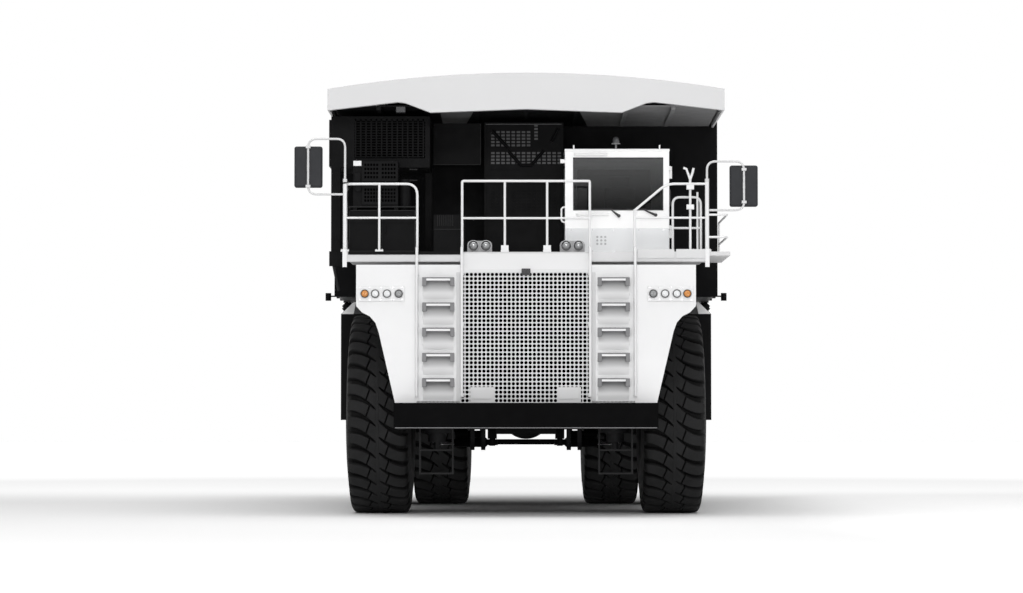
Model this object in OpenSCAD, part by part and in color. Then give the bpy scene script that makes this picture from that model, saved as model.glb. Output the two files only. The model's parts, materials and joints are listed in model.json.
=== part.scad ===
/* [Wheels] */
// Outside diameter of every tyre over the lug tips
tyre_d = 3060; // [2900:10:3200]
// Width of a tyre over its sidewalls
tyre_w = 984; // [960:2:1080]
// Width of the tread
tread_w = 820; // [780:2:900]
// Thickness of the tyre wall
tyre_wall = 95; // [70:1:120]
// Radius of the rim where the beads sit
rim_r = 650; // [600:2:700]
// Height of the lugs on the tread
lug_h = 75; // [50:1:90]
// Lugs along each row of a tyre
lug_count = 38; // [30:1:44]
// Distance from the front axle to the rear axle
wheelbase = 5200; // [5100:10:5400]
// Front wheel centre from the middle of the truck
front_track_half = 2237; // [2200:1:2300]
// Inner twin wheel centre from the middle of the truck
rear_inner_x = 1443; // [1430:1:1470]
// Outer twin wheel centre from the middle of the truck
rear_outer_x = 2553; // [2530:1:2580]

/* [Chassis] */
// Front axle, measured back from the middle of the truck's length
front_axle_y = -3200; // [-3250:5:-3150]
// Inner face of a frame rail
rail_in = 450; // [420:2:470]
// Width of a frame rail
rail_w = 220; // [180:2:230]
// Height of a frame rail's bottom
rail_bottom = 1500; // [1460:5:1540]
// Height of a frame rail's top
rail_top = 2250; // [2200:5:2250]
// Distance of the kingpins inside the middle of the front tyres
kingpin_in = 857; // [840:1:900]
// Radius of a front suspension barrel
strut_r = 210; // [195:1:225]
// Radius of a front suspension rod
strut_rod_r = 150; // [130:1:160]
// Radius of a front wheel spindle
spindle_r = 180; // [160:1:200]
// Radius of the rear axle tube
axle_r = 260; // [240:2:280]
// Radius of a rear wheel spindle
rear_spindle_r = 240; // [220:2:255]
// Radius of a tow pin hole
tow_r = 60; // [45:1:70]
// Radius of the rear tow eye's hole
rear_tow_r = 50; // [40:1:55]

/* [Front end] */
// Front of the bumper
bumper_front = -5700; // [-5750:5:-5680]
// Half width of the bumper
bumper_half = 1945; // [1920:5:1960]
// Bottom of the bumper
bumper_bottom = 1315; // [1290:1:1340]
// Top of the bumper
bumper_top = 1685; // [1670:1:1700]
// Front face of the white panels
panel_front = -5450; // [-5470:1:-5440]
// Thickness of the white panels
panel_t = 40; // [25:1:60]
// Half width of the grille
grille_half = 970; // [950:1:990]
// Top of the grille
grille_top = 3620; // [3600:5:3640]
// Top of the fender and step panels
panel_top = 3730; // [3715:1:3740]
// Outer edge of a step panel
step_outer = 1640; // [1620:1:1660]
// Outer edge of a fender panel at its top
fender_outer = 2515; // [2480:5:2540]
// Centre of the steps from the middle of the truck
step_x = 1294; // [1280:1:1310]
// Width of a step tread
step_w = 474; // [440:1:500]
// Height from one step to the next
step_pitch = 372; // [360:1:376]
// Top of the lowest step
step_low = 2045; // [2030:1:2060]
// Height of the lamp row
lamp_z = 3300; // [3260:2:3340]
// Radius of a lamp bezel
lamp_r = 72; // [66:1:76]

/* [Deck] */
// Front edge of the side decks
deck_front = -5350; // [-5380:1:-5340]
// Back edge of the decks
deck_back = -2700; // [-2750:5:-2680]
// Top of the deck plates
deck_top = 3930; // [3920:1:3950]
// Thickness of the deck plates
deck_t = 60; // [40:1:70]
// Half width of the decks
deck_half = 2720; // [2700:5:2760]
// Outer edge of the cab side platform
platform_x = 3030; // [3010:1:3050]
// Height of the top rails above the deck
guard_h = 1060; // [1000:5:1150]
// Radius of a rail tube
tube_r = 24; // [18:1:28]

/* [Cab] */
// Inner side of the cab
cab_in = 590; // [570:1:610]
// Outer side of the cab
cab_out = 2160; // [2140:1:2180]
// Front of the cab
cab_front = -4650; // [-4700:5:-4630]
// Back of the cab
cab_back = -2950; // [-3000:5:-2900]
// Roof of the cab
cab_top = 5510; // [5490:1:5530]
// Thickness of the cab walls
cab_wall = 60; // [50:1:70]
// Thickness of the cab glass
glass_t = 12; // [8:1:16]
// Width of the cab door
door_w = 760; // [740:1:780]

/* [Equipment] */
// Thickness of cabinet walls and equipment plates
plate_t = 40; // [30:1:50]
// Height of the resistor grid box
grid_h = 774; // [740:2:800]
// Gap from the grid box up to the canopy's sides
grid_gap = 40; // [30:1:70]
// Front of the side tanks
tank_front = -1050; // [-1060:1:-1030]
// Length of the side tanks
tank_l = 1200; // [1100:5:1250]
// Outer face of the side tanks
tank_out = 3006; // [2980:1:3010]
// Inner face of the side tanks
tank_in = 1350; // [1330:1:1400]
// Width of a mirror head
mirror_w = 418; // [400:1:430]
// Height of a mirror head
mirror_h = 615; // [600:1:630]

/* [Dump body] */
// Front face of the headboard
head_front = -2600; // [-2620:1:-2580]
// Half width of the dump body
body_half = 3015; // [3000:1:3030]
// Thickness of the body plates
body_t = 60; // [45:1:65]
// Underside of the body floor
floor_z = 3370; // [3365:1:3380]
// Back end of the body
tail_y = 5700; // [5600:5:5750]
// Rise of the tail above the flat floor
tail_rise = 470; // [400:5:520]
// Height of the side walls at the front
side_front_z = 5500; // [5400:5:5600]
// Height of the side walls at the tail
side_back_z = 4900; // [4800:5:5000]
// Front face of the canopy lip
lip_front = -5300; // [-5320:1:-5290]
// Inset of the canopy from the body's sides
canopy_inset = 60; // [50:1:75]
// Height of the canopy's top above the cab roof
cab_headroom = 1090; // [1050:5:1110]
// Fall of the canopy's top from its middle to its sides
canopy_sag = 240; // [220:5:260]
// Depth of the canopy from its top at the middle to the bottom of its sides
canopy_depth = 560; // [540:1:565]

/* [Joints] */
// Body hinge, measured back from the middle of the truck's length
hinge_y = 3150; // [3130:1:3170]
// Height of the body hinge
hinge_z = 2050; // [2030:1:2070]
// Radius of a body hinge pin
hinge_r = 75; // [60:1:80]
// Hoist centre from the middle of the truck
hoist_x = 1050; // [1040:1:1060]
// Radius of a hoist barrel
hoist_r = 165; // [160:1:170]
// Radius of a hoist's lower pin
hoist_pin_r = 60; // [50:1:66]
// Distance from the kingpin to the tie rod pin
tie_arm = 700; // [680:1:720]
// Distance from the kingpin to the steering cylinder's rod end
cylinder_arm = 420; // [410:1:430]
// Radius of a steering pin
steer_pin_r = 45; // [40:1:48]
// Radial clearance of a pin in its bore
pin_fit = 0.05; // [0.03:0.01:0.08]
// Radial clearance of a sliding rod
slide_fit = 0.4; // [0.3:0.1:0.8]
// Clearance between moving pieces and what they pass
run_gap = 8; // [6:1:15]

/* [Hidden] */
$fn = 48;

white = [0.93, 0.93, 0.93];
pale_grey = [0.78, 0.78, 0.78];
black = [0.06, 0.06, 0.06];
dark = [0.16, 0.16, 0.17];
steel = [0.7, 0.7, 0.72];
amber = [0.88, 0.55, 0.2];
glass_tint = [0.3, 0.35, 0.38, 0.5];

// Overrun of every cut
over = 5;
// How far an elbow stands proud of its tube
elbow = 1.5;

// Wheels and axles
tyre_r = tyre_d / 2;
axle_z = tyre_r;
rear_axle_y = front_axle_y + wheelbase;
rim_t = 40;
rim_half = 425;
flange_t = 28;
flange_h = 48;
bead_gap = 5;
bead_seat = 0.3;
web_t = 60;
hub_r = 330;
hub_out = 235;
hub_in = 317;
hub_cap = 95;
rear_hub_r = 450;
rear_hub_start = 1060;
rear_hub_end = 2800;
rear_spindle_end = 2700;
axle_end = 900;
banjo_r = 420;
banjo_half = 330;

// Canopy heights
kingpin_x = front_track_half - kingpin_in;
canopy_top = cab_top + cab_headroom;
canopy_half = body_half - canopy_inset;
canopy_side_top = canopy_top - canopy_sag;
canopy_bottom = canopy_top - canopy_depth;

// Chassis
rail_out = rail_in + rail_w;
bumper_depth = 400;
bumper_back = bumper_front + bumper_depth;
rail_overhang = 200;
rail_end = hinge_y + rail_overhang;
arch_gap = 90;
arch_z = axle_z + axle_r + arch_gap;
arch_half = 400;
arch_slope = 150;
tail_rail_bottom = 1700;
cross_l = 200;
cross_h = 400;
cross_low = 100;
nose_cross_gap = 1300;
nose_cross_y = rear_axle_y - nose_cross_gap;
rear_cross_gap = 200;
rear_cross_y = hinge_y - rear_cross_gap;
rear_cross_l = 300;
rear_cross_h = 300;
nose_half = 150;
seat_r = 90;
post_l = 120;
post_back_gap = 30;
deck_bottom = deck_top - deck_t;
front_post_y = -5240;
tow_eye_half = 120;
tow_eye_l = 270;
tow_eye_t = 80;
tow_eye_drop = 20;
tow_eye_back = 100;
tank_bracket_l = 200;
tank_bracket_z = 1600;
tank_bracket_h = 400;

// Front suspension, steering pins and knuckles
strut_z0 = 1800;
strut_z1 = 2950;
strut_bore_top = 2600;
strut_arm_half = 200;
strut_arm_lift = 50;
knuckle_r = 230;
knuckle_z0 = 1230;
knuckle_z1 = 1780;
knuckle_rod_top = 2500;
arm_t = 80;
arm_half = 100;
steer_z = 1090;
steer_eye_half = 45;
steer_eye_r = 85;
steer_eye_gap = 10;
cylinder_frame_x = 520;
cylinder_ahead = 300;
cylinder_frame_y = front_axle_y - cylinder_ahead;
cylinder_bracket_half = 70;
cylinder_bracket_l = 100;
tie_rod_r = 42;
steer_barrel_r = 75;
steer_barrel_end = 720;
steer_bore_start = 215;
steer_rod_r = 41;
steer_rod_start = 440;

// Hoists
hoist_y = -150;
hoist_z = 1200;
hoist_eye_y = -450;
hoist_eye_z = 3050;
hoist_bracket_t = 90;
hoist_bracket_half = 150;
hoist_bracket_low = 1050;
hoist_bracket_top = 1700;
hoist_eye_half = 90;
hoist_eye_r = 150;
hoist_pin_end = 30;
hoist_barrel_end = 1560;
hoist_bore_start = 190;
hoist_stage_r = 140;
hoist_stage_start = 200;
hoist_stage_end = 1600;
hoist_stage_floor = 70;
hoist_rod_r = 108;
hoist_rod_start = 280;
hoist_rod_eye_r = 110;
hoist_rod_eye_half = 35;
hoist_ear_gap = 15;
hoist_ear_t = 40;
hoist_ear_r = 110;

// Straight solids between stated faces
module block(x, y, z) {
    translate([x[0], y[0], z[0]])
        cube([x[1] - x[0], y[1] - y[0], z[1] - z[0]]);
}

module both() {
    children();
    mirror([1, 0, 0]) children();
}

module rod_x(r, x, y, z) {
    translate([x[0], y, z]) rotate([0, 90, 0]) cylinder(h = x[1] - x[0], r = r);
}

module rod_y(r, x, y, z) {
    translate([x, y[0], z]) rotate([-90, 0, 0]) cylinder(h = y[1] - y[0], r = r);
}

module rod_z(r, x, y, z) {
    translate([x, y, z[0]]) cylinder(h = z[1] - z[0], r = r);
}

// A round bar from one point to another
module bar(a, b, r) {
    d = b - a;
    l = norm(d);
    translate(a) rotate([0, acos(d[2] / l), atan2(d[1], d[0])]) cylinder(h = l, r = r);
}

// A tube bent through points, with round corners
module tube(points, r) {
    for (i = [0 : len(points) - 2]) bar(points[i], points[i + 1], r);
    for (i = [1 : len(points) - 2]) translate(points[i]) sphere(r + elbow);
}

// An outline in the side view, given a width across the truck
module side_plate(outline, x) {
    translate([x[0], 0, 0]) rotate([90, 0, 90]) linear_extrude(x[1] - x[0]) polygon(outline);
}

// An outline in the front view, given a depth along the truck
module front_plate(outline, y) {
    translate([0, y[1], 0]) rotate([90, 0, 0]) linear_extrude(y[1] - y[0]) polygon(outline);
}

module frame() {
    color(black) {
        both() frame_side();
        frame_cross(rail_in, [bumper_back, bumper_back + cross_l]);
        frame_cross(rail_in, [nose_cross_y, nose_cross_y + cross_l]);
        difference() {
            rear_cross();
            rod_z(rear_tow_r, 0, rear_cross_y + rear_cross_l + tow_eye_l - tow_eye_back,
                  [tail_rail_bottom, rail_top]);
        }
    }
}

module frame_cross(half, y) {
    z = rail_bottom + cross_low;
    block([-half, half], y, [z, z + cross_h]);
}

// Crossmember at the body hinge, with the rear tow eye
module rear_cross() {
    back = rear_cross_y + rear_cross_l;
    z = tail_rail_bottom + tow_eye_drop;
    block([-rail_in, rail_in], [rear_cross_y, back],
          [tail_rail_bottom, tail_rail_bottom + rear_cross_h]);
    block([-tow_eye_half, tow_eye_half], [back, back + tow_eye_l], [z, z + tow_eye_t]);
}

module frame_side() {
    a = rear_axle_y;
    side_plate([
        [bumper_back, rail_bottom], [a - arch_half - arch_slope, rail_bottom],
        [a - arch_half, arch_z], [a + arch_half, arch_z],
        [a + arch_half + arch_slope, tail_rail_bottom], [rail_end, tail_rail_bottom],
        [rail_end, rail_top], [bumper_back, rail_top]
    ], [rail_in, rail_out]);
    for (y = [front_post_y, deck_back - post_back_gap - post_l])
        block([rail_in, rail_out], [y, y + post_l], [rail_top, deck_bottom]);
    rod_x(hinge_r, [rail_out, rail_out + hinge_pin_l], hinge_y, hinge_z);
    hoist_mount();
    block([rail_out, tank_in], [tank_front + tank_bracket_l / 2, tank_front + tank_bracket_l * 3 / 2],
          [tank_bracket_z, tank_bracket_z + tank_bracket_h]);
    steering_mount();
}

module hoist_mount() {
    x = rail_out + hoist_bracket_t;
    block([rail_out, x], [hoist_y - hoist_bracket_half, hoist_y + hoist_bracket_half],
          [hoist_bracket_low, hoist_bracket_top]);
    rod_x(hoist_pin_r, [x, hoist_x + hoist_eye_half + hoist_pin_end], hoist_y, hoist_z);
}

// Bracket under the rail that holds a steering cylinder's pin
module steering_mount() {
    z = steer_z + steer_eye_half + steer_eye_gap;
    block([cylinder_frame_x - cylinder_bracket_half, cylinder_frame_x + cylinder_bracket_half],
          [cylinder_frame_y - cylinder_bracket_l, cylinder_frame_y + cylinder_bracket_l],
          [z, rail_bottom]);
    rod_z(steer_pin_r, cylinder_frame_x, cylinder_frame_y,
          [steer_z - steer_eye_half - steer_eye_gap, z]);
}

module front_struts() {
    color(black) both() difference() {
        union() {
            rod_z(strut_r, kingpin_x, front_axle_y, [strut_z0, strut_z1]);
            block([rail_out, kingpin_x],
                  [front_axle_y - strut_arm_half, front_axle_y + strut_arm_half],
                  [strut_z0 + strut_arm_lift, rail_top]);
        }
        rod_z(strut_rod_r + pin_fit, kingpin_x, front_axle_y, [strut_z0 - over, strut_bore_top]);
    }
}

module rear_axle() {
    color(dark) {
        rod_x(axle_r, [-axle_end, axle_end], rear_axle_y, axle_z);
        rod_y(banjo_r, 0, [rear_axle_y - banjo_half, rear_axle_y + banjo_half], axle_z);
        block([-nose_half, nose_half], [nose_cross_y + cross_l, rear_axle_y],
              [axle_z - nose_half, axle_z + nose_half]);
        both() {
            rod_x(rear_spindle_r, [axle_end, rear_spindle_end], rear_axle_y, axle_z);
            rod_z(seat_r, rail_in + rail_w / 2, rear_axle_y, [axle_z, arch_z]);
        }
    }
}

// Front end
hinge_pin_l = 165;
engine_half = 440;
engine_wide_half = 640;
engine_front = -5000;
engine_back = -3000;
engine_bottom = 1650;
engine_top = 3500;
radiator_half = 900;
radiator_bottom = 1750;
radiator_top = 3590;
panel_back = panel_front + panel_t;
hood_back = -5270;
hood_lip = 40;
hood_top = 3905;
// Fender outline, as shares of its width beyond the steps and of its height
fender_x_shares = [0.34, 0.62, 0.674, 0.771, 0.898, 1, 1];
fender_z_shares = [0, 0.516, 0.58, 0.627, 0.654, 0.701, 0.74];
lamp_x = [2231, 2056, 1882];
amber_x = 2385;
lamp_depth = 45;
lamp_plate_t = 20;
lamp_plate_x = [1800, 2480];
lamp_plate_half = 110;
grille_columns = 12;
grille_rows = 12;
grille_margin = 40;
grille_hole_r = 55;
hole_sides = 8;
liner_y = -4700;
liner_z = [3110, 3150];
liner_inset = 30;
chin_half = 450;
chin_h = 90;
chin_y = [-5500, -5340];
step_depth = 170;
step_t = 45;
step_count = 5;
step_plate_t = 20;
step_plate_h = 240;
step_gusset_t = 25;
step_gusset_h = 130;
tow_mid = 710;
tow_offset = 80;
tow_toe = 3;
tow_t = 60;
tow_half = 130;
tow_y = -5560;
tow_pin_z = 1120;

module bumper() {
    color(black) {
        block([-bumper_half, bumper_half], [bumper_front, bumper_back], [bumper_bottom, bumper_top]);
        block([-chin_half, chin_half], chin_y, [bumper_bottom - chin_h, bumper_bottom]);
        both() translate([tow_mid, tow_y, 0]) rotate([0, 0, -tow_toe])
            for (x = [-tow_offset, tow_offset]) tow_lug(x);
    }
}

// A tow lug with a round end and a pin hole
module tow_lug(x) {
    difference() {
        union() {
            block([x - tow_t / 2, x + tow_t / 2], [-tow_half, tow_half],
                  [tow_pin_z, bumper_bottom]);
            rod_x(tow_half, [x - tow_t / 2, x + tow_t / 2], 0, tow_pin_z);
        }
        rod_x(tow_r, [x - tow_t, x + tow_t], 0, tow_pin_z);
    }
}

module power_block() {
    color(dark) {
        block([-engine_half, engine_half], [engine_front, engine_back], [engine_bottom, rail_top]);
        block([-engine_wide_half, engine_wide_half], [engine_front, engine_back],
              [rail_top, engine_top]);
        block([-radiator_half, radiator_half], [panel_back, bumper_back],
              [radiator_bottom, radiator_top]);
    }
}

module hood() {
    color(white) side_plate([
        [panel_front, grille_top], [panel_front, grille_top + hood_lip],
        [hood_back - hood_lip, hood_top], [hood_back, hood_top], [hood_back, grille_top]
    ], [-grille_half, grille_half]);
}

// Grid of eight-sided holes through the grille's sheet
module grille() {
    w = grille_half * 2;
    h = grille_top - bumper_top;
    column = (w - grille_margin * 2) / grille_columns;
    row = (h - grille_margin * 2) / grille_rows;
    color(pale_grey) translate([-grille_half, panel_back, bumper_top]) rotate([90, 0, 0])
        linear_extrude(panel_t) difference() {
            square([w, h]);
            for (i = [0 : grille_columns - 1]) for (k = [0 : grille_rows - 1])
                translate([grille_margin + (i + 1 / 2) * column, grille_margin + (k + 1 / 2) * row])
                    circle(grille_hole_r, $fn = hole_sides);
        }
}

module fender_panels() {
    w = fender_outer - step_outer;
    h = panel_top - bumper_top;
    outline = concat(
        [[step_outer, panel_top], [step_outer, bumper_top]],
        [for (i = [0 : len(fender_x_shares) - 1])
            [step_outer + w * fender_x_shares[i], bumper_top + h * fender_z_shares[i]]],
        [[fender_outer, panel_top]]);
    color(white) both() {
        front_plate(outline, [panel_front, panel_back]);
        block(lamp_plate_x, [panel_front - lamp_plate_t, panel_front],
              [lamp_z - lamp_plate_half, lamp_z + lamp_plate_half]);
        block([step_outer, fender_outer - liner_inset], [panel_back, liner_y], liner_z);
    }
}

module step_panels() {
    color(white) both() {
        block([grille_half, step_outer], [panel_front, panel_back], [bumper_top, panel_top]);
        for (i = [0 : step_count - 1]) front_step(step_low + i * step_pitch);
    }
}

// One boarding step: tread, backing plate and two gussets
module front_step(z) {
    x = [step_x - step_w / 2, step_x + step_w / 2];
    front = panel_front - step_depth;
    block(x, [front, panel_front], [z - step_t, z]);
    block(x, [panel_front - step_plate_t, panel_front], [z - step_plate_h, z - step_t]);
    for (gx = [x[0], x[1] - step_gusset_t]) side_plate([
        [panel_front - step_plate_t, z - step_t], [front, z - step_t],
        [panel_front - step_plate_t, z - step_gusset_h]
    ], [gx, gx + step_gusset_t]);
}

module lamp(x) {
    front = panel_front - lamp_plate_t;
    rod_y(lamp_r, x, [front - lamp_depth, front], lamp_z);
}

module head_lamps() {
    color(pale_grey) both() for (x = lamp_x) lamp(x);
}

module amber_lamps() {
    color(amber) both() lamp(amber_x);
}

// Deck and its rails
beam_h = 150;
beam_t = 60;
platform_back = -3300;
outrigger_lip = 15;
guard_inset = 40;
guard_y = deck_front + guard_inset;
guard_centre_gap = 45;
guard_centre_y = hood_back + guard_centre_gap;
guard_mid_h = 505;
guard_side_h = 1010;
centre_post_x = 950;
centre_mid_x = 315;
stair_x = 1615;
stair_out = 42;
stair_y = panel_front - stair_out;
stair_low = 1780;
stair_link_h = 60;
stair_brackets_z = [1800, 2850, 3600];
stair_bracket_half = 20;
outer_post_x = 2690;
side_mid_x = 2180;
slope_x = 2090;
slope_h = 615;
pole_x = 2440;
pole_h = 1250;
side_rail_back = -4840;
platform_post_x = platform_x - guard_inset;
platform_rail_back = platform_back - guard_inset;
tube_step = 1;
post_r = tube_r - tube_step * 2;
mid_r = tube_r - tube_step * 4;
stair_r = tube_r - tube_step * 3;
hoops_h = [218, 550];
post_foot_half = 60;
post_foot_l = 35;
post_foot_h = 30;

module decks() {
    color(pale_grey) {
        plate = [deck_bottom, deck_top];
        beam = [deck_top - beam_h, deck_top];
        block([-deck_half, -grille_half], [deck_front, deck_back], plate);
        block([grille_half, deck_half], [deck_front, deck_back], plate);
        block([-grille_half, grille_half], [hood_back, deck_back], plate);
        block([deck_half, platform_x], [deck_front, platform_back], plate);
        block([grid_x[0] - outrigger_lip, -deck_half],
              [grid_y[0] - outrigger_lip, grid_y[1] + outrigger_lip], plate);
        block([-deck_half, -grille_half], [deck_front, deck_front + beam_t], beam);
        block([grille_half, deck_half], [deck_front, deck_front + beam_t], beam);
    }
}

// A post on the deck with its foot
module post(x, y, h) {
    rod_z(post_r, x, y, [deck_top, deck_top + h]);
    block([x - post_foot_half, x + post_foot_half], [y - post_foot_l, y + post_foot_l],
          [deck_top, deck_top + post_foot_h]);
}

// A stair handrail that runs down in front of a panel from a deck post
module stair_rail(x, y) {
    z = deck_top + stair_link_h;
    tube([[x, y, z], [x, stair_y, z], [x, stair_y, stair_low]], stair_r);
    for (b = stair_brackets_z)
        block([x - stair_bracket_half, x + stair_bracket_half], [stair_y, panel_front],
              [b - stair_bracket_half, b + stair_bracket_half]);
}

module guard_rails() {
    color(white) {
        guard_centre();
        guard_right();
        guard_left();
    }
}

module guard_centre() {
    z = deck_top + guard_h;
    y = guard_centre_y;
    tube([[-centre_post_x, y, deck_top], [-centre_post_x, y, z], [centre_post_x, y, z],
          [centre_post_x, y, deck_top]], tube_r);
    bar([-centre_post_x, y, deck_top + guard_mid_h], [centre_post_x, y, deck_top + guard_mid_h],
        mid_r);
    both() {
        post(centre_mid_x, y, guard_h);
        stair_rail(centre_post_x, y);
    }
}

module guard_right() {
    z = deck_top + guard_side_h;
    y = guard_y;
    m = deck_top + guard_mid_h;
    tube([[-stair_x, y, deck_top], [-stair_x, y, z], [-outer_post_x, y, z],
          [-outer_post_x, side_rail_back, z], [-outer_post_x, side_rail_back, deck_top]], tube_r);
    tube([[-stair_x, y, m], [-outer_post_x, y, m], [-outer_post_x, side_rail_back, m]], mid_r);
    post(-outer_post_x, y, guard_side_h);
    post(-side_mid_x, y, guard_side_h);
    stair_rail(-stair_x, y);
}

module guard_left() {
    z = deck_top + guard_side_h;
    y = guard_y;
    m = deck_top + guard_mid_h;
    x = platform_post_x;
    b = platform_rail_back;
    low = deck_top + hoops_h[0];
    top = deck_top + hoops_h[1];
    tube([[stair_x, y, deck_top], [stair_x, y, deck_top + slope_h], [slope_x, y, z],
          [outer_post_x, y, z], [outer_post_x, y, deck_top]], tube_r);
    bar([stair_x, y, m], [outer_post_x, y, m], mid_r);
    tube([[outer_post_x, y, top], [x, y, top], [x, b, top], [x, b, deck_top]], mid_r);
    tube([[outer_post_x, y, low], [x, y, low], [x, b, low]], mid_r - tube_step);
    post(outer_post_x, y, post_foot_h);
    post(pole_x, y, pole_h);
    post(x, b, post_foot_h);
    stair_rail(stair_x, y);
}

// Mirrors: arm loops on the outer posts and their heads
mirror_right_x = 3240;
mirror_right_z = [4785, 5608];
mirror_left_x = 3240;
mirror_left_z = [4547, 5274];
mirror_head_t = 120;
mirror_round = 50;
mirror_gap = 0.3;
arm_foot_z = deck_top + guard_side_h + tube_r + elbow;

module mirror_arm(side, x, z, post_top) {
    y = guard_y;
    p = side * outer_post_x;
    tube([[p, y, z[0]], [side * x, y, z[0]], [side * x, y, z[1]], [p, y, z[1]]], mid_r);
    rod_z(post_r, p, y, post_top);
}

module mirror_arms() {
    color(white) difference() {
        union() {
            mirror_arm(-1, mirror_right_x, mirror_right_z,
                       [arm_foot_z, mirror_right_z[1] + post_r]);
            mirror_arm(1, mirror_left_x, mirror_left_z,
                       [arm_foot_z, mirror_left_z[1] + post_r]);
        }
        for (s = [-1, 1])
            rod_z((s < 0 ? post_r : tube_r) + mirror_gap, s * outer_post_x, guard_y,
                  [deck_top, arm_foot_z]);
    }
}

// A mirror head with rounded edges, clamped on its arm
module mirror_head(x, z) {
    y = guard_y + mid_r + elbow + mirror_gap;
    half = mirror_w / 2 - mirror_round;
    top = z + mirror_h / 2 - mirror_round;
    low = z - mirror_h / 2 + mirror_round;
    translate([x, y + mirror_head_t, 0]) rotate([90, 0, 0]) linear_extrude(mirror_head_t) {
        translate([-mirror_w / 2, low]) square([mirror_w, top - low]);
        translate([-half, low - mirror_round]) square([half * 2, top - low + mirror_round * 2]);
        for (sx = [-half, half]) for (sz = [low, top]) translate([sx, sz]) circle(mirror_round);
    }
}

module mirror_heads() {
    color(black) {
        mirror_head(-mirror_right_x, (mirror_right_z[0] + mirror_right_z[1]) / 2);
        mirror_head(mirror_left_x, (mirror_left_z[0] + mirror_left_z[1]) / 2);
    }
}

// Cab
cab_floor = deck_top + cab_wall;
cab_h = cab_top - deck_top;
// Heights in the cab, as shares of its height
screen_z_shares = [0.4177, 0.924];
side_window_z_shares = [0.4557, 0.8987];
door_z_shares = [0.0506, 0.943];
door_window_share = 0.4367;
door_hinge_shares = [0.2025, 0.7722];
seat_z_share = 0.3101;
seat_back_share = 0.4937;
console_share = 0.3861;
wheel_z_share = 0.4873;
wheel_r_share = 0.1456;
grab_z_shares = [0.3797, 0.9494];

function cab_z(share) = deck_top + cab_h * share;

screen_x = [710, 2070];
screen_z = [for (share = screen_z_shares) cab_z(share)];
rear_window_x = [800, 1950];
side_window_y = [-4400, -3200];
side_window_z = [for (share = side_window_z_shares) cab_z(share)];
door_front = -4420;
door_back = door_front + door_w;
door_z = [for (share = door_z_shares) cab_z(share)];
door_frame = 90;
door_window_low = cab_z(door_window_share);
hinge_off = 28;
door_pin_r = 12;
door_lug_r = 26;
door_lug_h = 60;
door_lug_gap = 3;
door_hinges_z = [for (share = door_hinge_shares) cab_z(share)];
door_strap_l = 140;
jamb_strap_l = 90;
seat_x = 1450;
seat_y = -3650;
seat_w = 540;
seat_z = cab_z(seat_z_share);
seat_t = 130;
seat_back_h = cab_h * seat_back_share;
seat_back_t = 140;
seat_post_w = 340;
console_x = [760, 2040];
console_depth = 300;
console_top = cab_z(console_share);
wheel_r = cab_h * wheel_r_share;
wheel_tube_r = 18;
wheel_z = cab_z(wheel_z_share);
wheel_tilt = 35;
column_r = 35;
beacon_x = 1340;
beacon_r = 48;
beacon_h = 130;
beacon_base_r = 75;
beacon_base_h = 50;
roof_lug_x = [720, 2010];
roof_lug_half = 30;
roof_lug_h = 60;
grab_x = [720, 1210];
grab_z = [for (share = grab_z_shares) cab_z(share)];
grab_r = 14;
grab_out = 45;

module cab_openings() {
    block(screen_x, [cab_front - over, cab_front + cab_wall + over], screen_z);
    block(rear_window_x, [cab_back - cab_wall - over, cab_back + over], side_window_z);
    block([cab_in - over, cab_in + cab_wall + over], side_window_y, side_window_z);
    block([cab_out - cab_wall - over, cab_out + over], [door_front, door_back], door_z);
}

module cab_shell() {
    color(white) {
        difference() {
            block([cab_in, cab_out], [cab_front, cab_back], [deck_top, cab_top]);
            block([cab_in + cab_wall, cab_out - cab_wall],
                  [cab_front + cab_wall, cab_back - cab_wall], [cab_floor, cab_top - cab_wall]);
            cab_openings();
        }
        for (z = door_hinges_z) jamb_hinge(z);
    }
}

// Hinge pin on the door jamb, with a lug above and below the door's own
module jamb_hinge(z) {
    for (low = [z - door_lug_h - door_lug_gap, z + door_lug_h + door_lug_gap]) {
        rod_z(door_lug_r, cab_out + hinge_off, door_front, [low, low + door_lug_h]);
        block([cab_out, cab_out + hinge_off], [door_front - jamb_strap_l, door_front],
              [low, low + door_lug_h]);
    }
    rod_z(door_pin_r, cab_out + hinge_off, door_front,
          [z - door_lug_h, z + door_lug_h * 2 + door_lug_gap]);
}

module cab_glass() {
    color(glass_tint) {
        y = cab_front + (cab_wall - glass_t) / 2;
        block(screen_x, [y, y + glass_t], screen_z);
        r = cab_back - (cab_wall + glass_t) / 2;
        block(rear_window_x, [r, r + glass_t], side_window_z);
        x = cab_in + (cab_wall - glass_t) / 2;
        block([x, x + glass_t], side_window_y, side_window_z);
    }
}

module door_window(t) {
    x = cab_out - (cab_wall + t) / 2;
    block([x, x + t], [door_front + run_gap + door_frame, door_back - run_gap - door_frame],
          [door_window_low, door_z[1] - run_gap - door_frame]);
}

module cab_door() {
    color(white) difference() {
        union() {
            block([cab_out - cab_wall, cab_out], [door_front + run_gap, door_back - run_gap],
                  [door_z[0] + run_gap, door_z[1] - run_gap]);
            for (z = door_hinges_z) {
                rod_z(door_lug_r, cab_out + hinge_off, door_front, [z, z + door_lug_h]);
                block([cab_out, cab_out + hinge_off],
                      [door_front + door_lug_gap, door_front + door_strap_l], [z, z + door_lug_h]);
            }
        }
        door_window(cab_wall + over);
        for (z = door_hinges_z)
            rod_z(door_pin_r + pin_fit, cab_out + hinge_off, door_front, [z - over, z + door_lug_h + over]);
    }
}

module door_glass() {
    color(glass_tint) door_window(glass_t);
}

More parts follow.
